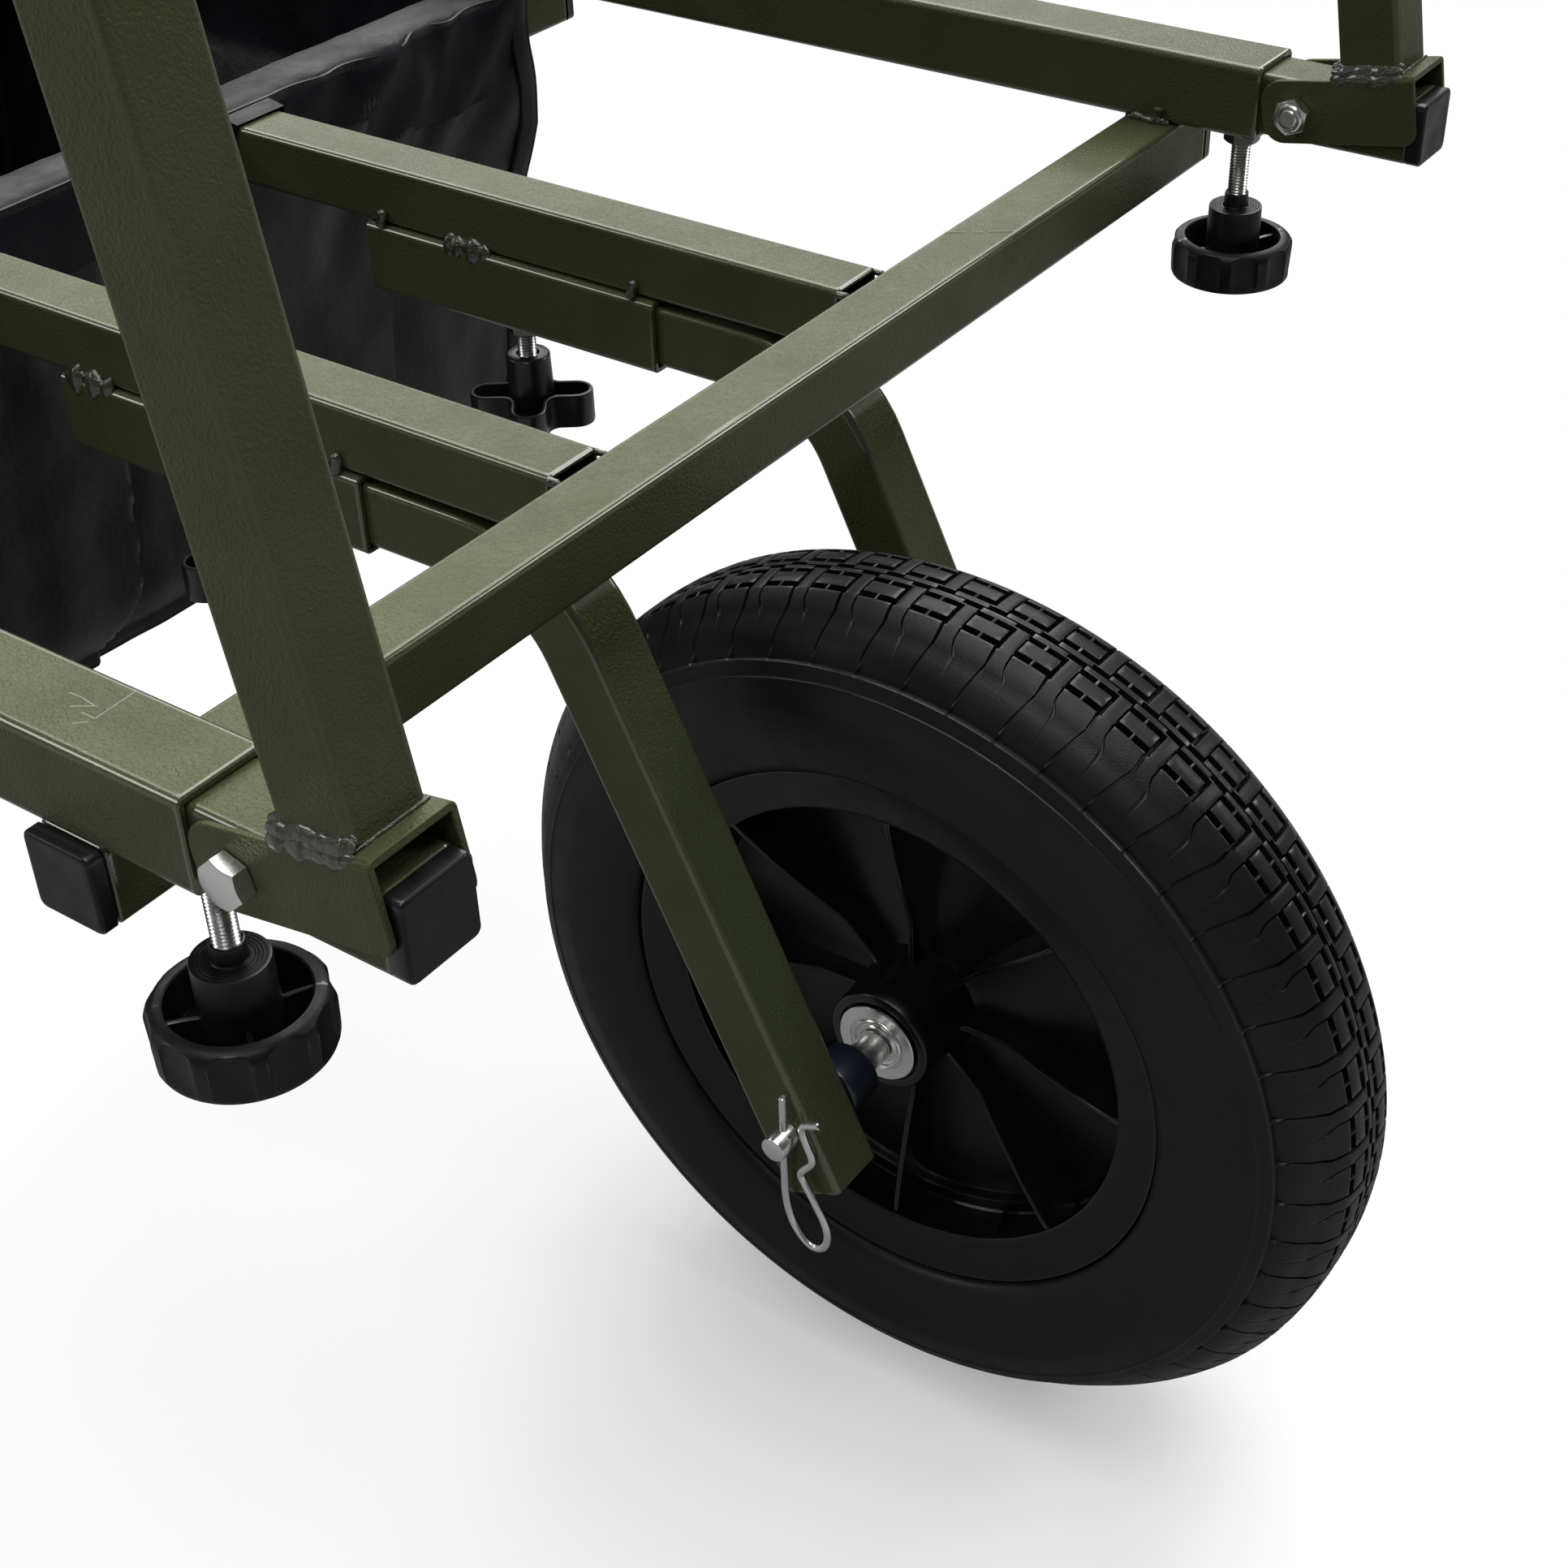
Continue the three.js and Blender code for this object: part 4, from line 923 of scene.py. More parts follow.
class TROLLEY_OT_ring_knobs(bpy.types.Operator):
    """Open ring knobs that clamp the sliding front tubes"""

    bl_idname = "trolley.ring_knobs"
    bl_label = "Ring knobs"

    flutes: bpy.props.IntProperty(name="Flutes", description="Finger flutes round a knob", default=10, min=3)
    flute_depth: bpy.props.FloatProperty(
        name="Flute depth",
        description="Depth of a finger flute",
        default=1.8 * MM,
        subtype="DISTANCE",
        unit="LENGTH",
    )

    def execute(self, context):
        material = plastic_material("knob_plastic")
        for side, _ in SIDES:
            low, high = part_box(f"front_clamp_knob_{side}")
            shell = Shell()
            collar = 6 * MM
            centre = Vector(((low.x + high.x) / 2, (low.y + high.y) / 2, high.z - collar))
            place = Matrix.Translation(centre) @ Matrix.Rotation(math.radians(21), 4, "Z")
            self.ring(shell, place)
            self.hub(shell, place)
            node = f"front_clamp_knob_{side}"
            piece = shell.piece(f"ring_knob_{side}", material, f"front_clamp_{side}", (node,))
        return {"FINISHED"}

    def ring(self, shell, place):
        """The cup: scoops cut into its outside run up into the rounded shoulder and end in arches."""
        top, bottom, radius = -13.0, -30.0, 25.5
        outside = [(23.6, 0), (24.6, 0.5), (25.0, 1.4), (25.2, 3), (25.3, 5), (25.4, 8), (radius, 11)]
        outside += [(radius, 12.6), (25.45, 13.1), (25.35, 13.6), (25.2, 14.1), (25.0, 14.6), (24.75, 15)]
        outside += [(24.45, 15.4), (24.1, 15.8), (23.7, 16.15), (23.2, 16.45), (22.5, 16.75), (21.5, 16.95)]
        inside = [(20.4, top), (19.9, top - 0.3), (19.6, top - 1), (19.5, top - 6), (19.4, bottom + 4.2)]
        inside += [(18.6, bottom + 3.2), (17, bottom + 3), (1, bottom + 3), (1, bottom + 1.2)]
        inside += [(17, bottom + 1.2), (18.5, bottom + 0.4), (20.5, bottom)]
        # Half width of a scoop, and the places of the columns, as shares of one flute.
        scoop = 0.36
        shares = (0, 0.06, 0.12, 0.18, 0.24, 0.29, 0.325, 0.345, 0.357, 0.363, 0.42)
        shares += tuple(1 - share for share in reversed(shares[1:]))
        turns = [flute + share for flute in range(self.flutes) for share in shares]
        angles = [2 * math.pi * turn / self.flutes for turn in turns]
        rings = []
        for reach, height in outside:
            points = []
            foot = min(1.0, 0.4 + height / 9)
            for angle, share in zip(angles, shares * self.flutes):
                off = min(1.0, min(share, 1 - share) / scoop)
                size = min(reach, radius - self.flute_depth / MM * foot * math.sqrt(1 - off * off)) * MM
                points.append((size * math.cos(angle), size * math.sin(angle), (bottom + height) * MM))
            rings.append(points)
        for reach, height in inside:
            size = reach * MM
            rings.append([(size * math.cos(angle), size * math.sin(angle), height * MM) for angle in angles])
        shell.rings(rings, place, closed=True)

    def hub(self, shell, place):
        """The hub with turned rings on its top, and the four webs that join it to the ring."""
        bottom, half, ease = -27.6, 0.8, 0.3
        profile = [(0, bottom), (12.4, bottom), (11.6, bottom + 0.9), (11.35, bottom + 3), (11.0, -0.5)]
        profile += [(10.85, -0.1), (10.5, 0), (9.8, 0), (9.65, -0.15), (9.5, 0), (8.7, 0), (8.55, -0.15)]
        profile += [(8.4, 0), (7.6, 0), (7.45, -0.18), (7.3, 0), (6.7, 0.02), (6.55, -0.18), (6.4, 0.04)]
        profile += [(5.5, 0.1), (5.1, 0.5), (5.0, 1), (4.9, 5.6), (4.7, 5.9), (4.4, 6), (4.3, 5.2), (0, 5.0)]
        shell.lathe(in_mm(profile), place, 64)
        sections = []
        for reach, height in ((10.8, -17.2), (15, -16.6), (19.9, -16.2)):
            outline = [(-half, -28), (half, -28), (half, height - ease), (half * 0.5, height)]
            sections.append((reach, outline + [(-half * 0.5, height), (-half, height - ease)]))
        for turn in range(4):
            rib(shell, math.pi / 2 * turn + math.radians(35), sections, place)


class TROLLEY_OT_star_knobs(bpy.types.Operator):
    """Four-lobed knobs of the fork, the handles and the rear legs"""

    bl_idname = "trolley.star_knobs"
    bl_label = "Star knobs"

    reach: bpy.props.FloatProperty(
        name="Reach",
        description="From the middle to the tip of a lobe",
        default=26 * MM,
        subtype="DISTANCE",
        unit="LENGTH",
    )

    def execute(self, context):
        material = plastic_material("star_plastic", rough=(0.36, 0.52))
        bright = zinc_material("short_screw_zinc")
        height = 32 * MM
        for side, _ in SIDES:
            for name in ("fork", "handle", "leg"):
                node = f"{name}_clamp_knob_{side}"
                body = f"{name}_clamp_{side}"
                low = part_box(node)[0]
                pivot = Vector(JOINTS[f"{name}_clamp_turn_{side}"]["pos_m"])
                if name == "leg":
                    place = lengthways(Vector((low.x + height, pivot.y, pivot.z)))
                else:
                    place = Matrix.Translation(Vector((pivot.x, pivot.y, low.z + height)))
                    if name == "fork":
                        place = place @ Matrix.Rotation(math.radians(36), 4, "Z")
                shell = Shell()
                self.knob(shell, place)
                piece = shell.piece(f"star_knob_{name}_{side}", material, body, (node,))
                if name != "fork":
                    shell = Shell()
                    threaded_rod(shell, SCREW_RADIUS, -2 * MM, 10.9 * MM, place)
                    shell.piece(f"short_screw_{name}_{side}", bright, body)
        return {"FINISHED"}

    @staticmethod
    def outline(reach, half, fillet):
        """The cross of four round-ended lobes, as one loop of points."""
        tip_steps, fillet_steps = 10, 8
        corner = half + fillet
        points = []
        for quarter in range(4):
            spin = Matrix.Rotation(quarter * math.pi / 2, 2)
            for i in range(tip_steps + 1):
                angle = math.pi * (i / tip_steps - 0.5)
                points.append(spin @ Vector((reach - half + half * math.cos(angle), half * math.sin(angle))))
            for i in range(1, fillet_steps):
                angle = math.pi / 2 * i / fillet_steps
                inwards = Vector((math.sin(angle), math.cos(angle))) * fillet
                points.append(spin @ (Vector((corner, corner)) - inwards))
        return points

    def knob(self, shell, place):
        """The cup-shaped star and the hub that stands in it."""
        top, bottom, floor = -17.0, -32.0, 3.0
        half, fillet, wall = 7.5, 5.0, 2.0
        reach = self.reach / MM
        outer = [(0.9, bottom), (0.25, bottom + 0.25), (0, bottom + 0.9), (0, top - 0.8), (0.25, top - 0.2)]
        outer += [(0.8, top), (1.4, top), (1.8, top - 0.3)]
        inner = [(wall, top - 1), (wall + 0.3, bottom + floor + 0.6), (wall + 0.8, bottom + floor)]
        # The first and the last ring shrink to a speck on the axis.
        speck = [(x * 0.001, y * 0.001) for x, y in self.outline(reach, half, fillet)]
        rings = [[Vector((x, y, bottom)) * MM for x, y in speck]]
        for inset, height in outer + inner:
            loop = self.outline(reach - inset, half - inset, fillet + inset)
            rings.append([Vector((x, y, height)) * MM for x, y in loop])
        rings.append([Vector((x, y, bottom + floor)) * MM for x, y in speck])
        shell.rings(rings, place, closed=True)
        profile = [(0, bottom + 2.5), (10.3, bottom + 2.5), (9.9, bottom + 4), (9.2, -0.8), (8.7, -0.2)]
        profile += [(8.1, 0), (5.0, 0), (4.5, -0.5), (4.4, -3), (0, -3)]
        shell.lathe(in_mm(profile), place)


# Wheel


def wheel_place():
    """Wheel axes to the trolley's: +Z of a turned section points to the left."""
    return Matrix.Translation(AXLE) @ Matrix.Rotation(-math.pi / 2, 4, "X")


class TROLLEY_OT_axle(bpy.types.Operator):
    """Axle pin with its R-clip, the spacers, and the flanged wheel bearings"""

    bl_idname = "trolley.axle"
    bl_label = "Axle"

    def execute(self, context):
        bright = zinc_material("pin_zinc")
        place = wheel_place()
        leg = (INNER_Y + TUBE["size"] / 2) / MM
        tip = -leg - 10.5
        shell = Shell()
        profile = [(0, tip), (4.1, tip), (4.8, tip + 0.25), (5, tip + 0.9), (5, leg + 0.6), (8, leg + 0.6)]
        profile += [(8.5, leg + 1.2), (8.5, leg + 3.2), (7.8, leg + 4.1), (4, leg + 4.3), (0, leg + 4.3)]
        shell.lathe(in_mm(profile), place)
        shell.piece("wheel_pin", bright, "fork", ("axle_pin",))
        self.clip(bright, -(leg + 3.3) * MM)
        bush = plastic_material("bush_plastic", (0.008, 0.011, 0.018), (0.25, 0.4))
        for side, sign in SIDES:
            turned = place if sign > 0 else place @ Matrix.Rotation(math.pi, 4, "X")
            self.spacer(side, bright, bush, turned)
            self.bearing(side, bright, turned)
        return {"FINISHED"}

    def spacer(self, side, bright, bush, place):
        """The black bush beside the leg, and the zinc sleeve between it and the bearing."""
        inside = (INNER_Y - TUBE["size"] / 2) / MM
        step, face, bore = inside - 16.3, 38.1, 5.4
        shell = Shell()
        profile = [(bore, step), (10.9, step), (11.8, step + 0.8), (12, step + 2.2), (12, inside - 2)]
        profile += [(11.6, inside - 0.8), (10.8, inside - 0.3), (bore, inside - 0.3)]
        shell.lathe(in_mm(profile), place, 40)
        piece = shell.piece(f"axle_bush_{side}", bush, "fork", (f"axle_spacer_{side}",))
        shell = Shell()
        profile = [(bore, face), (6.3, face), (6.6, face + 0.4), (6.6, step - 0.2), (bore, step - 0.2)]
        shell.lathe(in_mm(profile), place, 32)
        shell.piece(f"axle_sleeve_{side}", bright, "fork")

    def bearing(self, side, bright, place):
        """A pressed washer face with one raised ring, on the sleeve inside the boss."""
        shell = Shell()
        profile = [(5.4, 22.3), (12.6, 22.3), (12.6, 36.3), (16.2, 36.3), (16.5, 36.6), (16.5, 37.2)]
        profile += [(16.1, 37.5), (11.9, 37.5), (11.5, 36.9), (11.1, 36.9), (10.8, 37.6), (10.3, 37.95)]
        profile += [(9.7, 37.8), (9.3, 37.2), (8.6, 36.9), (8.1, 37.2), (7.7, 37.7), (7.2, 37.7)]
        profile += [(6.9, 37.1), (5.4, 37.0)]
        shell.lathe(in_mm(profile), place, 64)
        shell.piece(f"bearing_face_{side}", bright, "wheel", (f"wheel_bearing_{side}",))

    def clip(self, bright, y):
        """The wire R-clip: one prong through the pin, a loop, and one prong kinked round it."""
        route = [(0, 20.5), (0, 6), (0, -14), (0.2, -28), (2.2, -38), (6.2, -45), (11.5, -48.6)]
        route += [(16.4, -46.4), (18.4, -40), (17.0, -33), (12.5, -24), (7.9, -16), (7.3, -12.8)]
        route += [(9.6, -9.2), (12.0, -5.8), (12.0, -2.2), (9.7, 3.2), (8.2, 8.4), (9.2, 11.6)]
        route += [(13.2, 13.8), (15.6, 15.0)]
        route = [Vector((x * MM, 0, z * MM)) for x, z in route]
        # The straight prong stands in the pin's cross hole, and the loop hangs below the pin.
        path = smooth_path(route, 5)
        path = [point + Vector((AXLE.x, y, AXLE.z)) for point in path]
        shell = Shell()
        wire(shell, path, 1.5 * MM)
        shell.piece("pin_clip", bright, "fork", ("axle_clip",))


def smooth_path(points, steps):
    """A Catmull-Rom path through points."""
    ends = [points[0] * 2 - points[1], *points, points[-1] * 2 - points[-2]]
    path = []
    for a, b, c, d in zip(ends, ends[1:], ends[2:], ends[3:]):
        for i in range(steps):
            t = i / steps
            square = (2 * a - 5 * b + 4 * c - d) * t * t
            cube = (3 * b - a - 3 * c + d) * t * t * t
            path.append(0.5 * (2 * b + (c - a) * t + square + cube))
    return [*path, points[-1]]


def wire(shell, path, radius):
    """A round wire along a flat path, with eased ends."""
    columns, end_size, end_reach = 14, 0.7, radius * 0.25
    rings = []
    side = Vector((0, 1, 0))
    count = len(path)
    for i, point in enumerate(path):
        along = (path[min(i + 1, count - 1)] - path[max(i - 1, 0)]).normalized()
        up = along.cross(side)
        rings.append([point + (side * math.cos(a) + up * math.sin(a)) * radius for a in circle(columns)])

    def end(tip, before, ring):
        onward = (tip - before).normalized() * end_reach
        return [tip + (point - tip) * end_size + onward for point in ring]

    first, last = end(path[0], path[1], rings[0]), end(path[-1], path[-2], rings[-1])
    shell.rings([first, *rings, last])


class TROLLEY_OT_rim(bpy.types.Operator):
    """Moulded wheel rim: barrel, flat lips, boss and eight deep fins on each face"""

    bl_idname = "trolley.rim"
    bl_label = "Rim"

    fins: bpy.props.IntProperty(name="Fins", description="Fins on each face", default=8, min=3)

    def execute(self, context):
        material = plastic_material("rim_plastic", (0.0022, 0.0025, 0.0026), (0.3, 0.44), 0.02 * MM, 0.1)
        place = wheel_place()
        half = [
            (13.2, 34.4), (17.0, 34.4), (17.2, 35.6), (17.6, 36), (19.9, 36), (20.7, 35.8), (21.2, 35.2),
            (21.5, 31), (21.9, 20), (22.4, 8), (23.6, 4.6), (27, 3.2), (60, 3), (91.5, 3), (94, 3.5),
            (95, 4.8), (95.1, 7.2), (95.7, 8), (100.2, 8), (101, 8.8), (101, 20.4), (100.6, 21.6),
            (99.4, 23.4), (98.2, 26.2), (97.5, 27.9), (97.5, 28.6),
            (98.1, 29.1), (101, 29.9), (113.4, 32.6), (114.8, 32.8), (115.4, 32.3), (115.5, 31.2),
            (115.5, 27), (105, 27),
        ]
        section = half + [(r, -y) for r, y in reversed(half)]
        shell = Shell()
        shell.lathe(in_mm(section), place, 144)
        for i in range(self.fins):
            # The turned section starts at +X and runs towards -Z of the trolley.
            angle = 2 * math.pi * i / self.fins + math.radians(-1.5)
            between = angle + math.pi / self.fins * 0.86
            for face in (1, -1):
                self.fin(shell, place, angle, face)
                self.gusset(shell, place, between, face)
        piece = shell.piece("wheel_rim", material, "wheel", ("rim",), math.radians(38))
        return {"FINISHED"}

    @staticmethod
    def fin(shell, place, angle, face):
        """A thin plate from the boss to the barrel; its rounded edge kinks up to the lip."""
        half, floor = 1.2, 2.6
        edge = [(21.6, 13.6), (24, 13.1), (30, 13), (38, 13), (42, 13.2), (45.5, 13.9), (49, 15.1)]
        edge += [(60, 18.7), (76, 23.2), (92, 26.9), (96.5, 27.6), (99.6, 27.3)]
        sections = []
        for reach, height in edge:
            section = [(-half - 0.45, floor), (half + 0.45, floor), (half, height - 1.0)]
            section += [(half * 0.86, height - 0.4), (half * 0.5, height - 0.08), (0, height)]
            section += [(-half * 0.5, height - 0.08), (-half * 0.86, height - 0.4), (-half, height - 1.0)]
            sections.append((reach, [(across, face * up) for across, up in section]))
        rib(shell, angle, sections, place)

    @staticmethod
    def gusset(shell, place, angle, face):
        """A short rib from the barrel's step to its wall, between two fins."""
        sections = []
        for reach, height in ((95.2, 9.4), (96.4, 11.6), (98.4, 19), (100, 22.6), (101.4, 23)):
            section = [(-1, 6), (1, 6), (0.7, height - 0.3), (0, height), (-0.7, height - 0.3)]
            sections.append((reach, [(across, face * up) for across, up in section]))
        rib(shell, angle, sections, place)


class TROLLEY_OT_tyre(bpy.types.Operator):
    """The tyre with its block tread, sipes, scalloped shoulders and moulded ring line"""

    bl_idname = "trolley.tyre"
    bl_label = "Tyre"

    pitches: bpy.props.IntProperty(
        name="Tread pitches",
        description="Tread blocks round the tyre",
        default=55,
        min=8,
    )
    phase: bpy.props.FloatProperty(
        name="Tread phase",
        description="Where the first block starts, from the top towards the front",
        default=-1.75 / 181,
        subtype="ANGLE",
        unit="ROTATION",
    )

    radius = 181.0
    drawn_pitch = 20.6  # length of one block in the tables below, in millimetres
    shoulder = 14.6  # where the blocks end and the scalloped shoulder starts
    # The sipes of the shoulder, as rows of (distance across, middle, width).
    short_sipe = (
        (14.6, 0, 0.5), (15.2, 0, 0.5), (19.8, 0.2, 0.5),
        (24.2, 2.8, 1.2), (30, 3.2, 0.9), (43.5, 3.5, 0.5),
    )
    long_sipe = (
        (14.6, 14.5, 1.4), (15.2, 14.1, 1.1), (22.3, 14.8, 1.1),
        (36.5, 11.8, 0.8), (43.5, 11.3, 0.6),
    )
    # Radius and half width of the rows of the bead, which turns in under the rim's lip.
    bead = (
        (120.4, 37.6), (117.4, 35.6), (115.95, 34.2), (115.8, 33.4),
        (115.8, 26.7), (105.3, 26.7), (104.9, 20),
    )

    def execute(self, context):
        material = rubber_material("tyre_rubber", (0.0062, 0.0062, 0.0064), (0.36, 0.5))
        across, columns = self.rows(), self.columns()
        near = self.side(across, columns, -1)
        far = self.side(across, columns, 1)
        points = np.concatenate([far[::-1], near[1:]], axis=0)
        rows, count = points.shape[:2]
        index = np.arange(rows * count).reshape(rows, count)
        right = np.roll(index, -1, axis=1)
        quads = np.stack([index[:-1], right[:-1], right[1:], index[1:]], axis=-1).reshape(-1, 4)
        closing = np.stack([index[-1], right[-1], right[0], index[0]], axis=-1)
        faces = np.concatenate([quads, closing]).tolist()
        vertices, sharp = points.reshape(-1, 3).tolist(), math.radians(40)
        piece = new_piece("tread_tyre", vertices, faces, material, "wheel", ("tyre",), sharp)
        return {"FINISHED"}

    @staticmethod
    def rows():
        """Distances across the tyre from its centre line, closer at the edges of the tread."""
        rows = [0.0]
        for edge in (0.3, 2.2, 3.0, 5.5, 12.0, 14.6):
            rows += [edge - 0.12, edge + 0.12]
        rows += [4.2, 5.0, 6.1, 8.8, 11.4, 13.3, 15.2, 15.8, 17.2, 19, 20.6, 22.2, 24, 26, 28.5, 31]
        rows += [33.5, 36, 38.5, 41, 42.6, 43.3, 43.6, 44.3, 46, 48, 49.4, 49.75, 50, 50.25, 50.6]
        rows += [52, 54, 56.5, 59, 62]
        return np.array(sorted(rows))

    @staticmethod
    def columns():
        """One pitch of columns, with pairs at the sides of the blocks and of the sipes."""
        table = [-0.75, -0.4, -0.1, 0.1, 0.4, 0.75, 2.3, 4.1, 5.8, 6.18, 6.42, 6.9, 7.38, 7.62, 8.0]
        table += [9.8, 11.6, 13.25, 13.65, 13.95, 15.05, 15.35, 15.75, 17.3, 18.7]
        return np.array(table)

    @staticmethod
    def sipe(w, knots):
        """Middle and half width of a slanted sipe at a distance across."""
        table = np.array(knots)
        return np.interp(w, table[:, 0], table[:, 1]), np.interp(w, table[:, 0], table[:, 2]) / 2

    def side(self, across, table, sign):
        """One half of the tyre, as rows of points from the middle of the tread to the bead."""
        pitch = 2 * math.pi * self.radius / self.pitches
        scale = pitch / self.drawn_pitch
        table = table * scale
        # The far side's blocks stand part of a pitch further on; its columns are renumbered to match.
        shift = 8.5 if sign > 0 else 0.0
        offset = int(np.searchsorted(table, shift)) - 1 if sign > 0 else 0
        count = len(table) * self.pitches
        numbers = np.arange(count) - offset
        column, turn = numbers % len(table), numbers // len(table)
        # Columns at these knots of the plain pitch move with the edges of the sipes.
        knots = [-0.4, -0.1, 0.1, 0.4, 13.65, 13.95, 15.05, 15.35]
        knots = np.array([knots[-1] - self.drawn_pitch, *knots, 20.2]) * scale
        outline = self.section()
        rows = []
        for w in across:
            sipes = [self.sipe(w, self.short_sipe), self.sipe(w, self.long_sipe)]
            places = []
            for middle, half in sipes:
                for edge in (middle - half, middle + half):
                    places += [edge - 0.15, edge + 0.15]
            first, last = places[0] + self.drawn_pitch, places[-1] - self.drawn_pitch
            local = np.interp(table, knots, np.array([last, *places, first]) * scale)
            sink = self.depth(local / scale, w, *sipes)[column]
            radius, y, out_r, out_y = (np.interp(w, outline[:, 0], outline[:, i]) for i in range(1, 5))
            angle = (local[column] + turn * pitch + shift) / self.radius + self.phase
            across_wheel = AXLE.y + sign * (y - sink * out_y) * MM
            rows.append(self.row((radius - sink * out_r) * MM, across_wheel, angle))
        # The bead is plain, and keeps the last row's columns.
        for radius, y in self.bead:
            rows.append(self.row(radius * MM, np.full(count, AXLE.y + sign * y * MM), angle))
        return np.array(rows)

    @staticmethod
    def row(radius, y, angle):
        return np.stack([AXLE.x + radius * np.sin(angle), y, AXLE.z + radius * np.cos(angle)], axis=-1)

    @staticmethod
    def section():
        """Distance across, radius, half width and outward direction along half of the section."""
        # A squarish ellipse from the tread to the widest point, then a curve down to the bead.
        power = 2 / 2.7
        phi = np.linspace(0, math.radians(82), 400)
        y = 42.4 * np.sin(phi) ** power
        r = 124.3 + 56.7 * np.cos(phi) ** power
        t = np.linspace(0, 1, 60)[1:, None]
        ends = np.array([[y[-1], r[-1]], [42.3, 129], [40.6, 123.5], [37.6, 120.4]])
        curve = (1 - t) ** 3 * ends[0] + 3 * t * (1 - t) ** 2 * ends[1]
        curve = curve + 3 * t * t * (1 - t) * ends[2] + t ** 3 * ends[3]
        y, r = np.concatenate([y, curve[:, 0]]), np.concatenate([r, curve[:, 1]])
        w = np.concatenate([[0], np.cumsum(np.hypot(np.diff(y), np.diff(r)))])
        dy, dr = np.gradient(y, w), np.gradient(r, w)
        return np.stack([w, r, y, dy, -dr], axis=-1)

    def depth(self, x, w, short, long):
        """How deep the tread lies under the tyre's plain outline, in millimetres."""
        deep, pitch = settings().groove_depth / MM, self.drawn_pitch
        turns = (-pitch, 0, pitch)
        # Grooves as (from, to) along the tread, (from, to) across it, and depth.
        cuts = [(-6.8, 0, -1, 2.2, deep), (-40, 60, -1, 0.3, deep * 0.7), (0, 6.3, 3.0, 5.5, deep)]
        cuts += [(7.5, 15.2, 3.0, 5.5, deep), (13.8, 15.2, 5.2, 14.9, deep), (0, 6.3, 12.0, 14.6, deep)]
        cuts += [(7.5, 15.2, 12.0, 14.6, deep), (-0.25, 0.25, -1, 3.2, deep * 0.6)]
        cuts += [(-0.25, 0.25, 5.3, 12.2, deep * 0.6)]
        total = np.zeros_like(x)
        for low, high, inner, outer, most in cuts:
            for turn in turns:
                inside = np.minimum(np.minimum(x - low - turn, high + turn - x), min(w - inner, outer - w))
                total = np.maximum(total, self.groove(inside, most, 0.22))
        if w > self.shoulder:
            fade = np.clip((44 - w) / 6, 0, 1)
            for (middle, half), most in ((short, 2.6), (long, 3.2)):
                for turn in turns:
                    inside = half - np.abs(x - middle - turn)
                    total = np.maximum(total, self.groove(inside, most, 0.25) * fade)
            # The ground between a long sipe and the next short one lies lower and slopes down outwards.
            from_long = x - long[0]
            from_long = np.where(from_long < -0.2, from_long + pitch, from_long)
            to_short = short[0] + pitch - x
            to_short = np.where(to_short > pitch + 0.2, to_short - pitch, to_short)
            inside = np.minimum(from_long, to_short)
            ends = np.clip((43.8 - w) / 0.5, 0, 1)
            slope = 2.5 * np.clip((w - 15) / 11, 0, 1) * ends
            total = np.maximum(total, slope * np.clip((inside + 0.1) / 0.5, 0, 1))
            total += 0.45 * np.clip((w - 36) / 7, 0, 1) * ends
        # A thin ring line stands up on the sidewall.
        ring = np.clip(1 - abs(w - 50) / 0.35, 0, 1)
        return total - 0.45 * ring

    @staticmethod
    def groove(inside, most, worn):
        """The depth at a distance inside a groove's edge, which is worn round outside it."""
        rounded = worn * np.clip((inside + 0.75) / 0.65, 0, 1) ** 2
        return np.maximum(rounded, most * np.clip((inside + 0.1) / 0.2, 0, 1))


# Welds


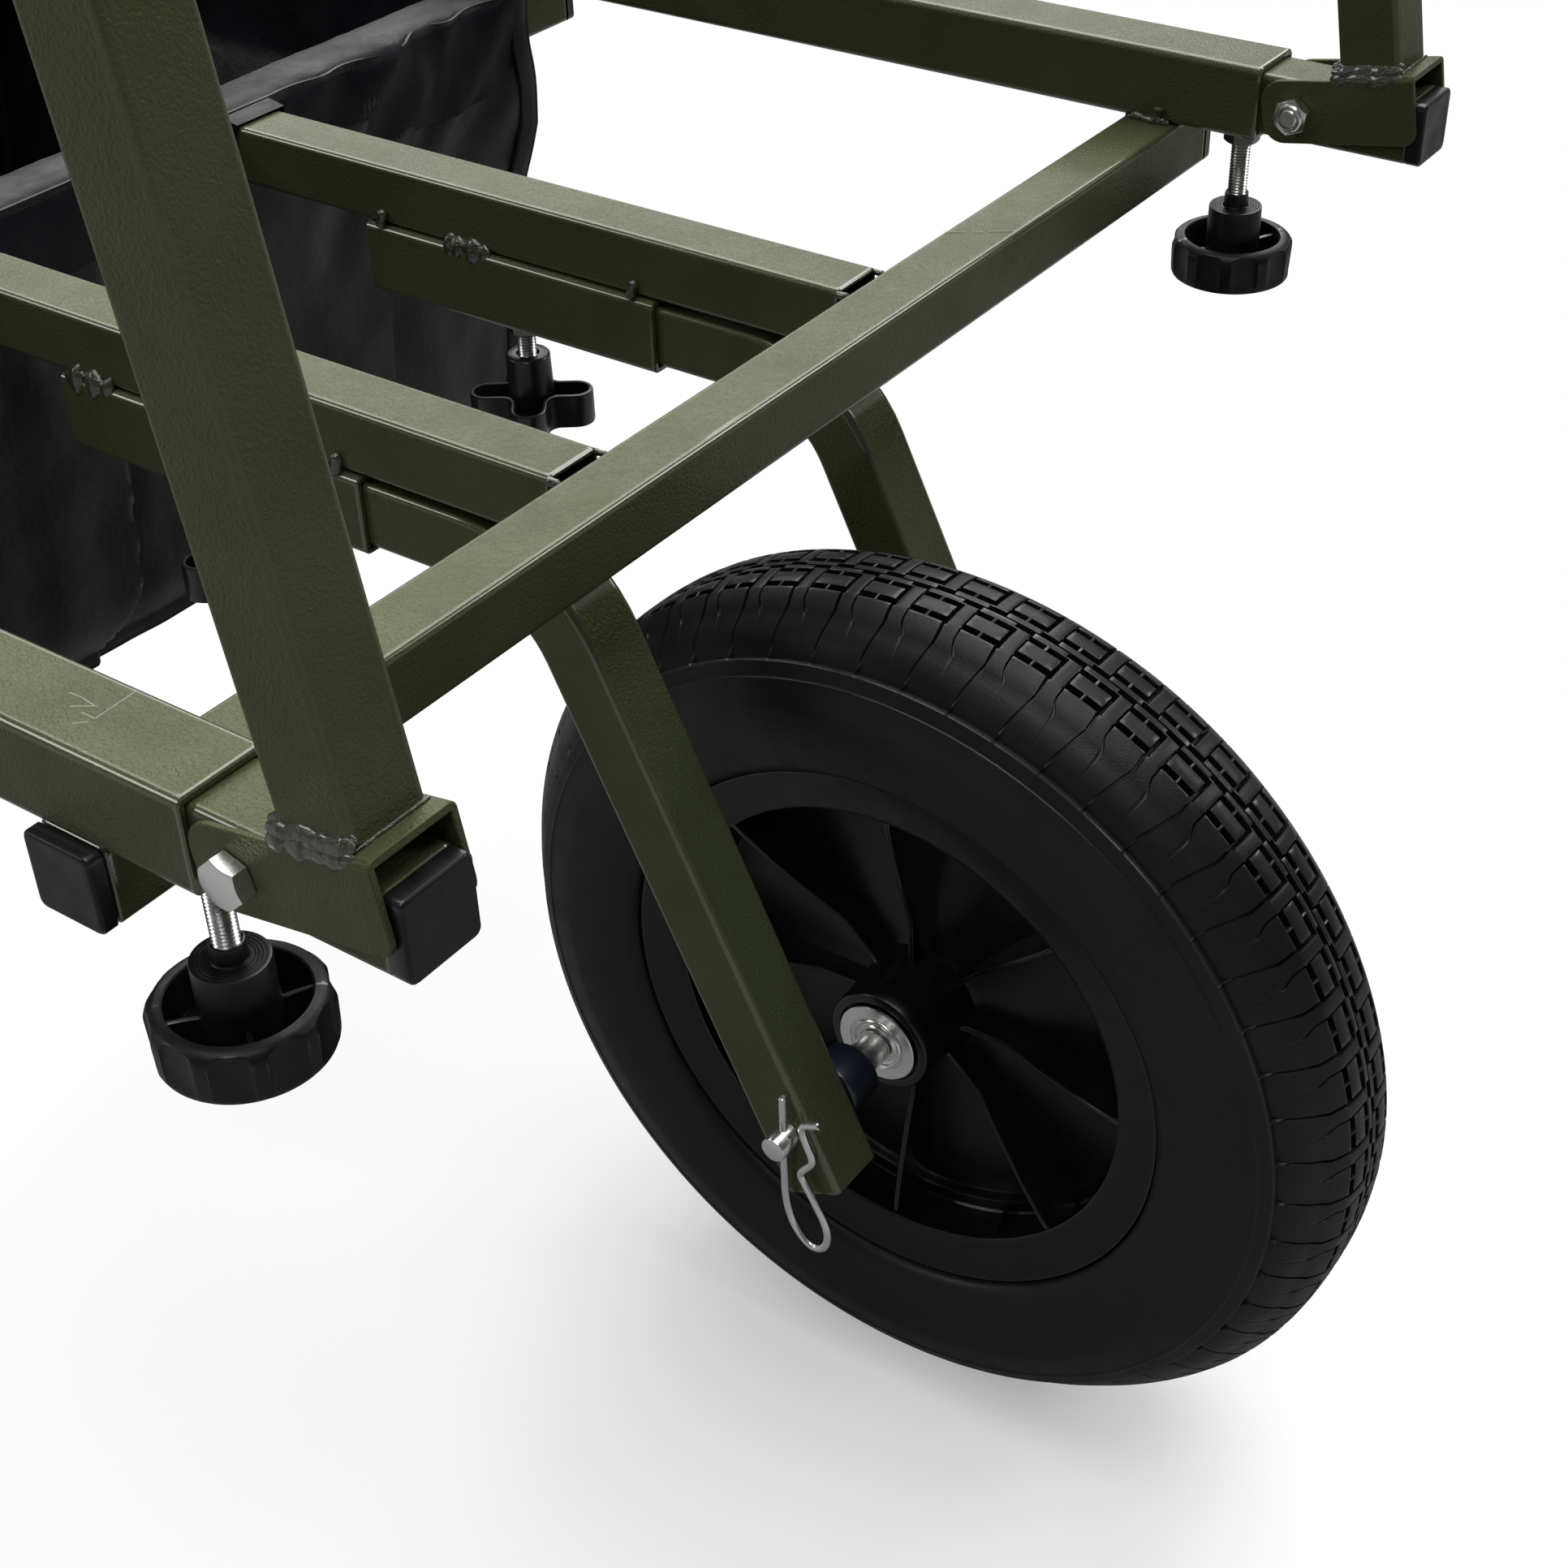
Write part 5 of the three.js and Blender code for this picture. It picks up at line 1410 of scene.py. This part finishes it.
class TROLLEY_OT_welds(bpy.types.Operator):
    """Painted weld beads and tacks where the tubes meet"""

    bl_idname = "trolley.welds"
    bl_label = "Welds"

    def execute(self, context):
        material = weld_material("coat_welds")
        width, leg_socket_faces = settings().bead_width, (-625.5, -654.5)
        chassis = Shell()
        for _, sign in SIDES:
            self.rail_welds(chassis, sign)
            self.inner_welds(chassis, sign, width * 1.5)
            for x in leg_socket_faces:
                ends = [(x, sign * RAIL_MIDDLE + y, -0.6) for y in (-13, 13)]
                deck_weld(chassis, ends, 4, x - sign)
        chassis.piece("deck_welds", material, "chassis", sharp=math.radians(60))
        hoop = Shell()
        for _, sign in SIDES:
            self.hoop_welds(hoop, sign, width)
        hoop.piece("hoop_welds", material, "hoop", sharp=math.radians(60))
        return {"FINISHED"}

    @staticmethod
    def rail_welds(shell, sign):
        """Beads between a side rail and the three crossbars that cross under it."""
        for front in CROSSBARS:
            for x in (front - 1, front - 24):
                deck_weld(shell, [(x, sign * y, -1.2) for y in (277.5, 302)], 3.4, x + sign)
        for front in CROSSBARS:
            ends = [(front + x, sign * 275.6, 0.4) for x in (-22, -3)]
            deck_weld(shell, ends, 4.4, front + 5 * sign)
        # One thick tack stands up where the front crossbar meets the rail.
        deck_weld(shell, [(-9, sign * 275.2, 0.5), (-8, sign * 275.8, 7)], 5.4, 31 * sign)

    @staticmethod
    def inner_welds(shell, sign, wide):
        """Beads at both ends of an inner rail, and those that hold the fork socket under it."""
        inner, ahead = sign * INNER_MIDDLE, CROSSBARS[1] + 1
        for edge in (-12.5, 12.5):
            deck_weld(shell, [(ahead, inner + edge, z) for z in (-23, -3)], 4, edge + sign)
            nib = inner + edge * 0.94
            deck_weld(shell, [(-30.5, nib, -2.2), (-24.6, nib, -2.0)], 3.2, edge + 3 * sign)
        deck_weld(shell, [(ahead, inner + y, -25.2) for y in (-11, 11)], 4, 7 * sign)
        rear, front = (-262, -236) if sign < 0 else (-222, -197)
        tacks = (-256, -125) if sign > 0 else (-125,)
        for face in (-1, 1):
            y = inner + face * 13.4
            ends = [(rear, y, -25.4), (front, y, -25.0)]
            deck_weld(shell, ends, wide / MM, 11 * face + sign, 0.8, Vector((0, face, 0.3)), 0.5)
            for x in tacks:
                ends = [(x, y + face * 0.8, -26.8), (x + 1.5, y - face * 0.5, -18.5)]
                deck_weld(shell, ends, 4.6, x * face, 0.5)

    @staticmethod
    def hoop_welds(shell, sign, width):
        """The welds round the foot of an upright, on the web of its bracket."""
        place = hoop_place(sign * RAIL_Y)
        half = 12.9 * MM
        near, far = (place @ Vector((UPRIGHT_AHEAD + half, y, UPRIGHT_FOOT)) for y in (-half, half))
        weld(shell, [near, far], 1.6 * MM, 7 * sign, 0.3)
        # The right side has one wide run, smeared down over the fold of the bracket.
        out = place.to_3x3() @ Vector((0, -1, 0.5))
        for rise, reach, seed in ((1.2, 0, 3), (-1.4, 1.1, 12), (2.6, -1.2, 21)):
            y, z = -half - reach * MM, UPRIGHT_FOOT + rise * MM
            ends = [place @ Vector((UPRIGHT_AHEAD + x * MM, y, z)) for x in (-15.5, 14)]
            weld(shell, ends, width, seed + sign, 0.42, out, 0.36)


def deck_weld(shell, ends, width, seed, *shape):
    """A straight bead between two places given as from_front takes them, its width in millimetres."""
    weld(shell, [from_front(*end) for end in ends], width * MM, seed, *shape)


# Grips and feet


class TROLLEY_OT_grips(bpy.types.Operator):
    """Ribbed rubber grips on the ends of the handles"""

    bl_idname = "trolley.grips"
    bl_label = "Grips"

    rings: bpy.props.IntProperty(name="Rings", description="Raised rings round a grip", default=11, min=2)

    def execute(self, context):
        material = rubber_material("grip_rubber", (0.013, 0.013, 0.013), (0.6, 0.8))
        for side, sign in SIDES:
            low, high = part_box(f"handle_grip_{side}")
            place = Matrix.Translation(Vector((low.x, sign * RAIL_Y, (low.z + high.z) / 2)))
            place = place @ Matrix.Rotation(math.pi / 2, 4, "Y")
            # Widths and heights from the closed end to the open one, in millimetres.
            length, size, bore, plain_end = (high.x - low.x) / MM, 33.2, 25.8, 12
            stations = [(0.2 * size, 0), (0.7 * size, 0), (size * 0.92, 0.5), (size * 0.985, 1.8), (size, 4)]
            pitch = (length - 2 * plain_end - 2) / self.rings
            for i in range(self.rings):
                start = plain_end + pitch * i
                for share, rise in ((0, 0), (0.12, 1.6), (0.25, 2.2), (0.6, 2.2), (0.73, 1.6), (0.85, 0)):
                    stations.append((size + rise, start + pitch * share))
            stations += [(size, length - plain_end), (size + 2.2, length - 10), (size + 2.4, length - 2)]
            stations += [(size + 1.2, length), (bore, length), (bore, length - 20)]
            shell = Shell()
            outlines = [(square_ring(width, min(7.5 * MM, width / 2.3)), z) for width, z in in_mm(stations)]
            shell.rings([raised(outline, z) for outline, z in outlines], place)
            piece = shell.piece(f"ribbed_grip_{side}", material, f"handle_{side}", (f"handle_grip_{side}",))
        return {"FINISHED"}


class TROLLEY_OT_feet(bpy.types.Operator):
    """Round moulded feet under the rear legs"""

    bl_idname = "trolley.feet"
    bl_label = "Feet"

    def execute(self, context):
        material = plastic_material("foot_plastic", rough=(0.4, 0.58))
        for side, _ in SIDES:
            low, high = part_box(f"rear_foot_{side}")
            middle = (low + high) / 2
            place = Matrix.Translation(Vector((middle.x, middle.y, low.z)))
            shell = Shell()
            profile = [(0, 0), (30, 0), (31, 0.8), (34, 0.8), (35, 0), (40, 0), (41.6, 0.8), (42, 2.2)]
            profile += [(41.2, 3.6), (38, 5.2), (30, 6.2), (20, 6.6), (0, 6.6)]
            shell.lathe(in_mm(profile), place, 72)
            stem_sizes = ((29, 6.2), (27, 7.2), (26, 9), (25.4, 18), (24.6, 19.6), (20, 19.7))
            shell.rings([raised(square_ring(size, 3.4 * MM), z) for size, z in in_mm(stem_sizes)], place)
            slope = ((11, 13.5), (22, 10), (35, 6.1))
            sections = [(reach, [(-1, 4), (1, 4), (0.8, top), (-0.8, top)]) for reach, top in slope]
            for turn in range(8):
                rib(shell, math.pi / 4 * turn, sections, place)
            piece = shell.piece(f"leg_foot_{side}", material, f"rear_leg_{side}", (f"rear_foot_{side}",))
        return {"FINISHED"}


# Bag


def cloth_material(name, colour, gloss=(0.34, 0.5), shine=0.38):
    """Coated woven cloth: a fine weave under a soft shine, with rubbed lighter creases."""
    nodes = Nodes(name)
    base = nodes.clouded(colour, 14, (0.8, 1.6), (0.35, 0.7), 4, 0.6)
    roughness = nodes.patchy(40, gloss, 4)
    threads = 420
    weave = nodes.add("ShaderNodeTexWave", wave_type="BANDS", bands_direction="X")
    weave.inputs["Scale"].default_value = threads
    weft = nodes.add("ShaderNodeTexWave", wave_type="BANDS", bands_direction="Z")
    weft.inputs["Scale"].default_value = threads
    nodes.link(nodes.stretched(1, 1, 0), weave.inputs["Vector"])
    nodes.link(nodes.place, weft.inputs["Vector"])
    crossed = nodes.math("MULTIPLY", weave.outputs["Fac"], weft.outputs["Fac"])
    wrinkle = nodes.bump(nodes.noise(48, 4, 0.55), 1.1 * MM)
    normal = nodes.bump(crossed, 0.06 * MM, wrinkle)
    return nodes.finish(base, roughness, normal, Specular_IOR_Level=shine)


def ramp(value, start, end):
    """A share that climbs from 0 at start to 1 at end."""
    return min(1.0, max(0.0, (value - start) / (end - start)))


class TROLLEY_OT_bag(bpy.types.Operator):
    """The hanging bag: a sagging cloth shell with sleeves over the crossbars and bound edges"""

    bl_idname = "trolley.bag"
    bl_label = "Bag"

    depth: bpy.props.FloatProperty(
        name="Depth",
        description="From the deck to the bottom of the bag",
        default=212 * MM,
        subtype="DISTANCE",
        unit="LENGTH",
    )

    # Millimetres, as from_front takes them.
    front, rear = -347.4, -747.6
    half_width, narrowing = 273, 33
    corner = 5.0
    thickness = 1.4

    def execute(self, context):
        colour = tuple(settings().cloth_colour)
        cloth = cloth_material("bag_cloth", colour)
        tape = cloth_material("bag_binding", shaded(colour, 0.8), (0.5, 0.7))
        fold = cloth_material("bag_fold", colour, (0.4, 0.58), 0.18)
        body = Shell()
        self.walls(body)
        piece = body.piece("bag_shell", cloth, "chassis", ("bag",), math.radians(70))
        sleeves = Shell()
        for front, facing in ((CROSSBARS[1], 1), (CROSSBARS[2], -1)):
            self.sleeve(sleeves, front, facing)
        sleeves.piece("bag_sleeves", fold, "chassis", sharp=math.radians(70))
        binding = Shell()
        self.binding(binding)
        binding.piece("bag_binding", tape, "chassis", sharp=math.radians(60))
        return {"FINISHED"}

    def places(self):
        """Places round the wall, closer at the corners and along the front."""
        places = []
        for side, steps in enumerate((50, 80, 50, 210)):
            length = 400 if side % 2 == 0 else 2 * self.half_width
            ends = [reach / length for reach in (0, 1.2, 2.5, 3.8, 5, 7)]
            places += [side + share for share in ends]
            places += [side + ends[-1] + (1 - 2 * ends[-1]) * i / steps for i in range(1, steps)]
            places += [side + 1 - share for share in reversed(ends[1:])]
        return places

    def wall_point(self, around, level):
        """A point of the plain wall: around from 0 to 4 sides, level from 0 at the top to 1 at the bottom."""
        narrow = np.interp(level, [0, 0.08, 0.3, 0.42, 0.87, 1.0], [0.0, 0.0, 0.05, 0.36, 0.79, 1.0])
        half = self.half_width - self.narrowing * narrow
        tuck = 12 * max(0.0, (level - 0.86) / 0.14) ** 2
        front, rear = self.front - tuck, self.rear + tuck
        side, share = int(around) % 4, around - int(around)
        x0, y0 = ((front, half), (rear, half), (rear, -half), (front, -half))[side]
        ahead = Vector(((-1, 0), (0, -1), (1, 0), (0, 1))[side])
        out = Vector(((0, 1), (-1, 0), (0, -1), (1, 0))[side])
        length = (front - rear) if side % 2 == 0 else 2 * half
        travel = share * length
        flat, normal = Vector((x0, y0)) + ahead * travel, out
        for near_end, sign in ((travel, -1), (length - travel, 1)):
            if near_end < self.corner:
                angle = (1 - near_end / self.corner) * math.pi / 4
                reach = self.corner if sign < 0 else length - self.corner
                normal = out * math.cos(angle) + ahead * (sign * math.sin(angle))
                flat = Vector((x0, y0)) + ahead * reach + (normal - out) * self.corner
        top = 1.5
        z = top - (self.depth / MM + top) * level
        z -= 3.0 * math.sin(math.pi * share) * max(0.0, level - 0.8)
        return Vector((flat.x, flat.y, z)), Vector((normal.x, normal.y, 0.0))

    @staticmethod
    def front_folds(y, z):
        """The front's own folds: three overlaps that hang down, and pulls that fan out from the corners."""
        push = 0.0
        low = ramp(-z, 35, 95) * (1 - 0.6 * ramp(-z, 185, 210))
        for middle in (150, -15, -180):
            before = middle + 0.1 * (z + 140) - 0.02 * max(0.0, -z - 180) ** 2 - y
            rise = 6.5 * math.exp(-before / 50) if before > 0 else -7.0 * math.exp(before / 30)
            push += low * rise * min(1.0, abs(before) / 1.5 + 0.1)
        across = abs(y)
        outer = ramp(across, 100, 135) * ramp(274 - across, 0, 24)
        fan = across - 0.95 * z
        high = math.exp(-(((z + 18) / 48) ** 2))
        wobble = 7 * noise.noise(Vector((y * 0.02, z * 0.02, 4.0)))
        push += outer * high * 3.0 * math.sin((fan - 248 + wobble) / 44 * 2 * math.pi)
        # A puff of cloth stands up near each corner, with a nick beside it.
        push += outer * 6.5 * math.exp(-(((across - 168) / 24) ** 2) - ((z + 2) / 22) ** 2)
        push -= outer * 5.0 * math.exp(-(((across - 203) / 8) ** 2) - ((z + 6) / 20) ** 2)
        return push

    def cloth_point(self, around, level):
        """A point of the hanging wall with its folds, and the way it faces."""
        point, normal = self.wall_point(around, level)
        held = ramp(level, 0, 0.25) * (1 - 0.6 * max(0.0, (level - 0.9) / 0.1))
        soft = noise.noise(Vector((point.x * 0.006, point.y * 0.011, point.z * 0.010)))
        drape = noise.noise(Vector((point.x * 0.02 + 4, point.y * 0.028, point.z * 0.006 + 7)))
        small = noise.noise(Vector((point.x * 0.05, point.y * 0.05, point.z * 0.035 + 3)))
        push = held * (5.0 * soft + 4.0 * drape + 1.4 * small)
        if normal.x > 0.9:
            push += self.front_folds(point.y, point.z)
        return point + normal * max(-7.0, min(6.5, push)), normal

    def walls(self, shell):
        """The four walls and the floor, as one cloth with an outer and an inner face."""
        places, levels, cloth = self.places(), 56, self.thickness
        outer, inner = [], []
        for row in range(levels + 1):
            points = [self.cloth_point(around, (row / levels) ** 0.9) for around in places]
            outer.append([from_front(*point) for point, _ in points])
            inner.append([from_front(*(point - normal * cloth)) for point, normal in points])
        floor = []
        middle = from_front((self.front + self.rear) / 2, 0, -self.depth / MM)
        for share in (0.97, 0.9, 0.75, 0.55, 0.3, 0.02):
            ring = []
            for point in outer[-1]:
                flat = middle.lerp(point, share)
                flat.z += max(-0.5 * MM, noise.noise(flat * 18) * 2.2 * MM) * (1 - share)
                ring.append(flat)
            floor.append(ring)
        inside = [[point + Vector((0, 0, cloth * MM)) for point in ring] for ring in floor]
        shell.rings(outer + floor + inside[::-1] + inner[::-1], closed=True)

    def sleeve(self, shell, front, facing):
        """The cloth over a crossbar: it rises from the panel, crosses the tube and hangs down behind."""
        ahead = front + 2.6 if facing > 0 else front - 27.6
        # Places behind the panel and above the deck; then how much each follows the front's folds.
        profile = [(-1.4, -44), (0.0, -36), (0.6, -24), (0.8, -10), (0.6, -3), (-0.6, 0.5), (-3, 2.0)]
        profile += [(-9, 2.4), (-15, 2.2), (-21, 2.3), (-27, 2.1), (-29.2, 0.4), (-29.8, -3)]
        profile += [(-29.8, -12), (-29.8, -24), (-29.8, -31)]
        shares = (1, 1, 1, 1, 1, 0.9, 0.75, 0.5, 0.25, 0.1, 0, 0, 0, 0, 0, 0)
        band = range(5, 10)
        count, half_width, cloth = 190, 262, 1.1
        rings = []
        for i in range(count + 1):
            y = half_width * (2 * i / count - 1)
            over_rail = facing > 0 and abs(abs(y) - INNER_MIDDLE) < 15
            outer, inner = [], []
            for number, ((back, z), share) in enumerate(zip(profile, shares)):
                if over_rail and number < band.start:
                    # A short flap lies on the inner rail.
                    back, z, share = 13.0 - 2.4 * number, 1.0 + 0.35 * number, 0.2
                push = share * max(-1.0, self.front_folds(y, z)) if facing > 0 else 0.0
                wave = noise.noise(Vector((y * 0.035, number * 0.27 + front, 2.0)))
                fine = noise.noise(Vector((y * 0.12, number * 0.6, front + 5.0)))
                away = Vector(((back + 14.8) * facing, 0, z + 12.5)).normalized()
                loose, lifted = (2.2, 0.35) if number in band else (1.0, 0.0)
                point = Vector((ahead + back * facing, y, z)) + away * loose * (0.5 * wave + 0.3 * fine)
                point += Vector((facing * push, 0, max(0.0, push) * lifted))
                outer.append(from_front(*point))
                inner.append(from_front(*(point - away * cloth)))
            rings.append(outer + inner[::-1])
        shell.rings(rings)

    def binding(self, shell):
        """Folded tape along the bottom and down beside the four corners."""
        bottom = [self.cloth_point(around, 0.995) for around in self.places()]
        self.tape(shell, bottom, Vector((0, 0, 1)), 5.5, True)
        inset, steps = 7.0 / (2 * self.half_width), 60
        for around in (3 + inset, 4 - inset, 1 + inset, 2 - inset):
            line = [self.cloth_point(around, 0.012 + 0.968 * row / steps) for row in range(steps + 1)]
            self.tape(shell, line, None, 6.0, False)

    @staticmethod
    def tape(shell, line, across, half, closed):
        """A strip along a line of (point, normal), as wide as twice half; across is None for upright ones."""
        section = [(-1, -0.5), (-0.97, 0.9), (-0.8, 1.2), (-0.72, 0.9), (-0.64, 1.3), (0, 1.6)]
        section += [(0.7, 1.4), (0.96, 0.9), (1, -0.5)]
        rings = []
        count = len(line)
        for i, (point, normal) in enumerate(line):
            width = across
            if width is None:
                ahead = line[min(i + 1, count - 1)][0] - line[max(i - 1, 0)][0]
                width = ahead.cross(normal).normalized()
            points = [point + width * half * share + normal * rise for share, rise in section]
            rings.append([from_front(*place) for place in points])
        shell.rings(rings, closed=closed)


# Stage


class TROLLEY_OT_stage(bpy.types.Operator):
    """Pale floor, soft studio lights and the photograph's camera"""

    bl_idname = "trolley.stage"
    bl_label = "Stage"

    azimuth: bpy.props.FloatProperty(
        name="Azimuth",
        description="Heading of the view, from +Y towards -X",
        default=math.radians(36.09),
        subtype="ANGLE",
        unit="ROTATION",
    )
    elevation: bpy.props.FloatProperty(
        name="Elevation",
        description="How far the view looks down",
        default=math.radians(36.32),
        subtype="ANGLE",
        unit="ROTATION",
    )
    roll: bpy.props.FloatProperty(
        name="Roll",
        description="Turn of the picture about the view",
        default=math.radians(-1.72),
        subtype="ANGLE",
        unit="ROTATION",
    )

    def execute(self, context):
        scene = context.scene
        scene.view_settings.view_transform = "Standard"
        self.camera(scene)
        self.floor(scene)
        self.lights(scene)
        self.world(scene)
        return {"FINISHED"}

    def camera(self, scene):
        """The photograph's camera: its place from the axle and its focal length fit the wheel and tubes."""
        from_axle, focal_pixels = Vector((361.2, -586.7, 604.9)) * MM, 2912.8
        data = bpy.data.cameras.new("photo_camera")
        data.sensor_width = 36.0
        data.lens = data.sensor_width * focal_pixels / PHOTO_PIXELS
        data.clip_start = 0.01
        data.clip_end = 50.0
        camera = bpy.data.objects.new("photo_camera", data)
        camera.location = AXLE + from_axle
        turn = Matrix.Rotation(self.azimuth, 3, "Z") @ Matrix.Rotation(math.pi / 2 - self.elevation, 3, "X")
        camera.rotation_euler = (turn @ Matrix.Rotation(self.roll, 3, "Z")).to_euler()
        scene.collection.objects.link(camera)
        scene.camera = camera

    def floor(self, scene):
        """A wide pale floor that shows the shadow under the wheel and is white elsewhere."""
        mesh = bpy.data.meshes.new("floor")
        reach, drop = 12.0, -0.2 * MM
        corners = [(-reach, -reach, drop), (reach, -reach, drop), (reach, reach, drop), (-reach, reach, drop)]
        mesh.from_pydata(corners, [], [(0, 1, 2, 3)])
        floor = bpy.data.objects.new("floor", mesh)
        scene.collection.objects.link(floor)
        nodes = Nodes("pale_floor")
        path = nodes.add("ShaderNodeLightPath")
        # The camera sees a white floor; what it throws back on the object is that of a grey one.
        grey, white = (0.2, 0.2, 0.2), (0.95, 0.95, 0.95)
        colour = nodes.mixed(path.outputs["Is Camera Ray"], grey, white)
        nodes.link(colour, nodes.shader.inputs["Base Color"])
        nodes.shader.inputs["Roughness"].default_value = 0.9
        nodes.shader.inputs["Specular IOR Level"].default_value = 0.1
        glow = nodes.add("ShaderNodeEmission")
        glow.inputs["Color"].default_value = (1, 1, 1, 1)
        glow.inputs["Strength"].default_value = 1.0
        shine = nodes.math("MULTIPLY", path.outputs["Is Glossy Ray"], 0.2)
        seen = nodes.math("MAXIMUM", path.outputs["Is Camera Ray"], shine)
        seen = nodes.math("MAXIMUM", seen, path.outputs["Is Transmission Ray"])
        # The floor glows to white away from the wheel, and keeps the shadow under it.
        shadow_middle, shadow_radius, fade_end, glow_in_shadow = (AXLE.x + 0.1, -0.05, 0), 0.2, 0.52, 0.36
        away = nodes.add("ShaderNodeVectorMath", operation="DISTANCE")
        nodes.link(nodes.place, away.inputs[0])
        away.inputs[1].default_value = shadow_middle
        outside = nodes.ranged(away.outputs["Value"], shadow_radius, fade_end, glow_in_shadow, 1.0)
        share = nodes.math("MULTIPLY", seen, outside)
        blend = nodes.add("ShaderNodeMixShader")
        nodes.link(share, blend.inputs[0])
        nodes.link(nodes.shader.outputs["BSDF"], blend.inputs[1])
        nodes.link(glow.outputs["Emission"], blend.inputs[2])
        output = nodes.tree.nodes["Material Output"]
        nodes.link(blend.outputs["Shader"], output.inputs["Surface"])
        mesh.materials.append(nodes.material)

    def lights(self, scene):
        """Distant lamps, each turned towards the object."""
        level, distance = settings().light_level, 3
        # Heading and height of the light, width of the lamp as seen from the object, and strength.
        lamps = (
            ("back_softbox", 130, 42, 60, 2.5),
            ("overhead_softbox", 0, 88, 50, 2.0),
            ("side_softbox", 215, 35, 70, 0.04),
            ("edge_lamp", 296, 58, 12, 0.22),
            ("rail_lamp", 218, 30, 18, 0.42),
            ("crossbar_lamp", 56, 32, 18, 0.5),
        )
        for name, heading, height, width, strength in lamps:
            data = bpy.data.lights.new(name, "SUN")
            data.angle = math.radians(width)
            data.energy = strength * level
            lamp = bpy.data.objects.new(name, data)
            heading, height = math.radians(heading), math.radians(height)
            flat = Vector((math.cos(heading), math.sin(heading), 0)) * math.cos(height)
            towards = flat + Vector((0, 0, math.sin(height)))
            lamp.location = towards * distance
            lamp.rotation_euler = towards.to_track_quat("Z", "Y").to_euler()
            scene.collection.objects.link(lamp)

    def world(self, scene):
        """White where the camera sees it, and a dim light on the object."""
        world = bpy.data.worlds.new("studio")
        world.use_nodes = True
        tree = world.node_tree
        background = tree.nodes["Background"]
        background.inputs["Color"].default_value = (1, 1, 1, 1)
        path = tree.nodes.new("ShaderNodeLightPath")
        seen = tree.nodes.new("ShaderNodeMath")
        seen.operation = "MAXIMUM"
        tree.links.new(path.outputs["Is Camera Ray"], seen.inputs[0])
        tree.links.new(path.outputs["Is Transmission Ray"], seen.inputs[1])
        strength = tree.nodes.new("ShaderNodeMapRange")
        strength.inputs["To Min"].default_value = 0.1
        strength.inputs["To Max"].default_value = 1.0
        tree.links.new(seen.outputs["Value"], strength.inputs["Value"])
        tree.links.new(strength.outputs["Result"], background.inputs["Strength"])
        scene.world = world


class TROLLEY_PT_panel(bpy.types.Panel):
    """Lists the trolley's settings and steps"""

    bl_idname = "TROLLEY_PT_panel"
    bl_label = "Fishing trolley"
    bl_space_type = "VIEW_3D"
    bl_region_type = "UI"
    bl_category = "Trolley"

    def draw(self, context):
        for name in TrolleySettings.__annotations__:
            self.layout.prop(context.scene.trolley_settings, name)
        for step in STEPS:
            self.layout.operator(step.bl_idname)


STEPS = (
    TROLLEY_OT_stage,
    TROLLEY_OT_frame_tubes,
    TROLLEY_OT_fork_legs,
    TROLLEY_OT_hoop,
    TROLLEY_OT_caps,
    TROLLEY_OT_fasteners,
    TROLLEY_OT_ring_knobs,
    TROLLEY_OT_star_knobs,
    TROLLEY_OT_axle,
    TROLLEY_OT_rim,
    TROLLEY_OT_tyre,
    TROLLEY_OT_welds,
    TROLLEY_OT_grips,
    TROLLEY_OT_feet,
    TROLLEY_OT_bag,
)
CLASSES = (TrolleySettings, *STEPS, TROLLEY_PT_panel)


def register():
    for cls in CLASSES:
        bpy.utils.register_class(cls)
    bpy.types.Scene.trolley_settings = bpy.props.PointerProperty(type=TrolleySettings)


def unregister():
    del bpy.types.Scene.trolley_settings
    for cls in reversed(CLASSES):
        bpy.utils.unregister_class(cls)


def plain(bounds):
    return [list(corner) for corner in bounds]


def main():
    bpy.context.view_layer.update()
    register()
    for step in STEPS:
        group, name = step.bl_idname.split(".")
        getattr(getattr(bpy.ops, group), name)()


if __name__ == "__main__":
    main()
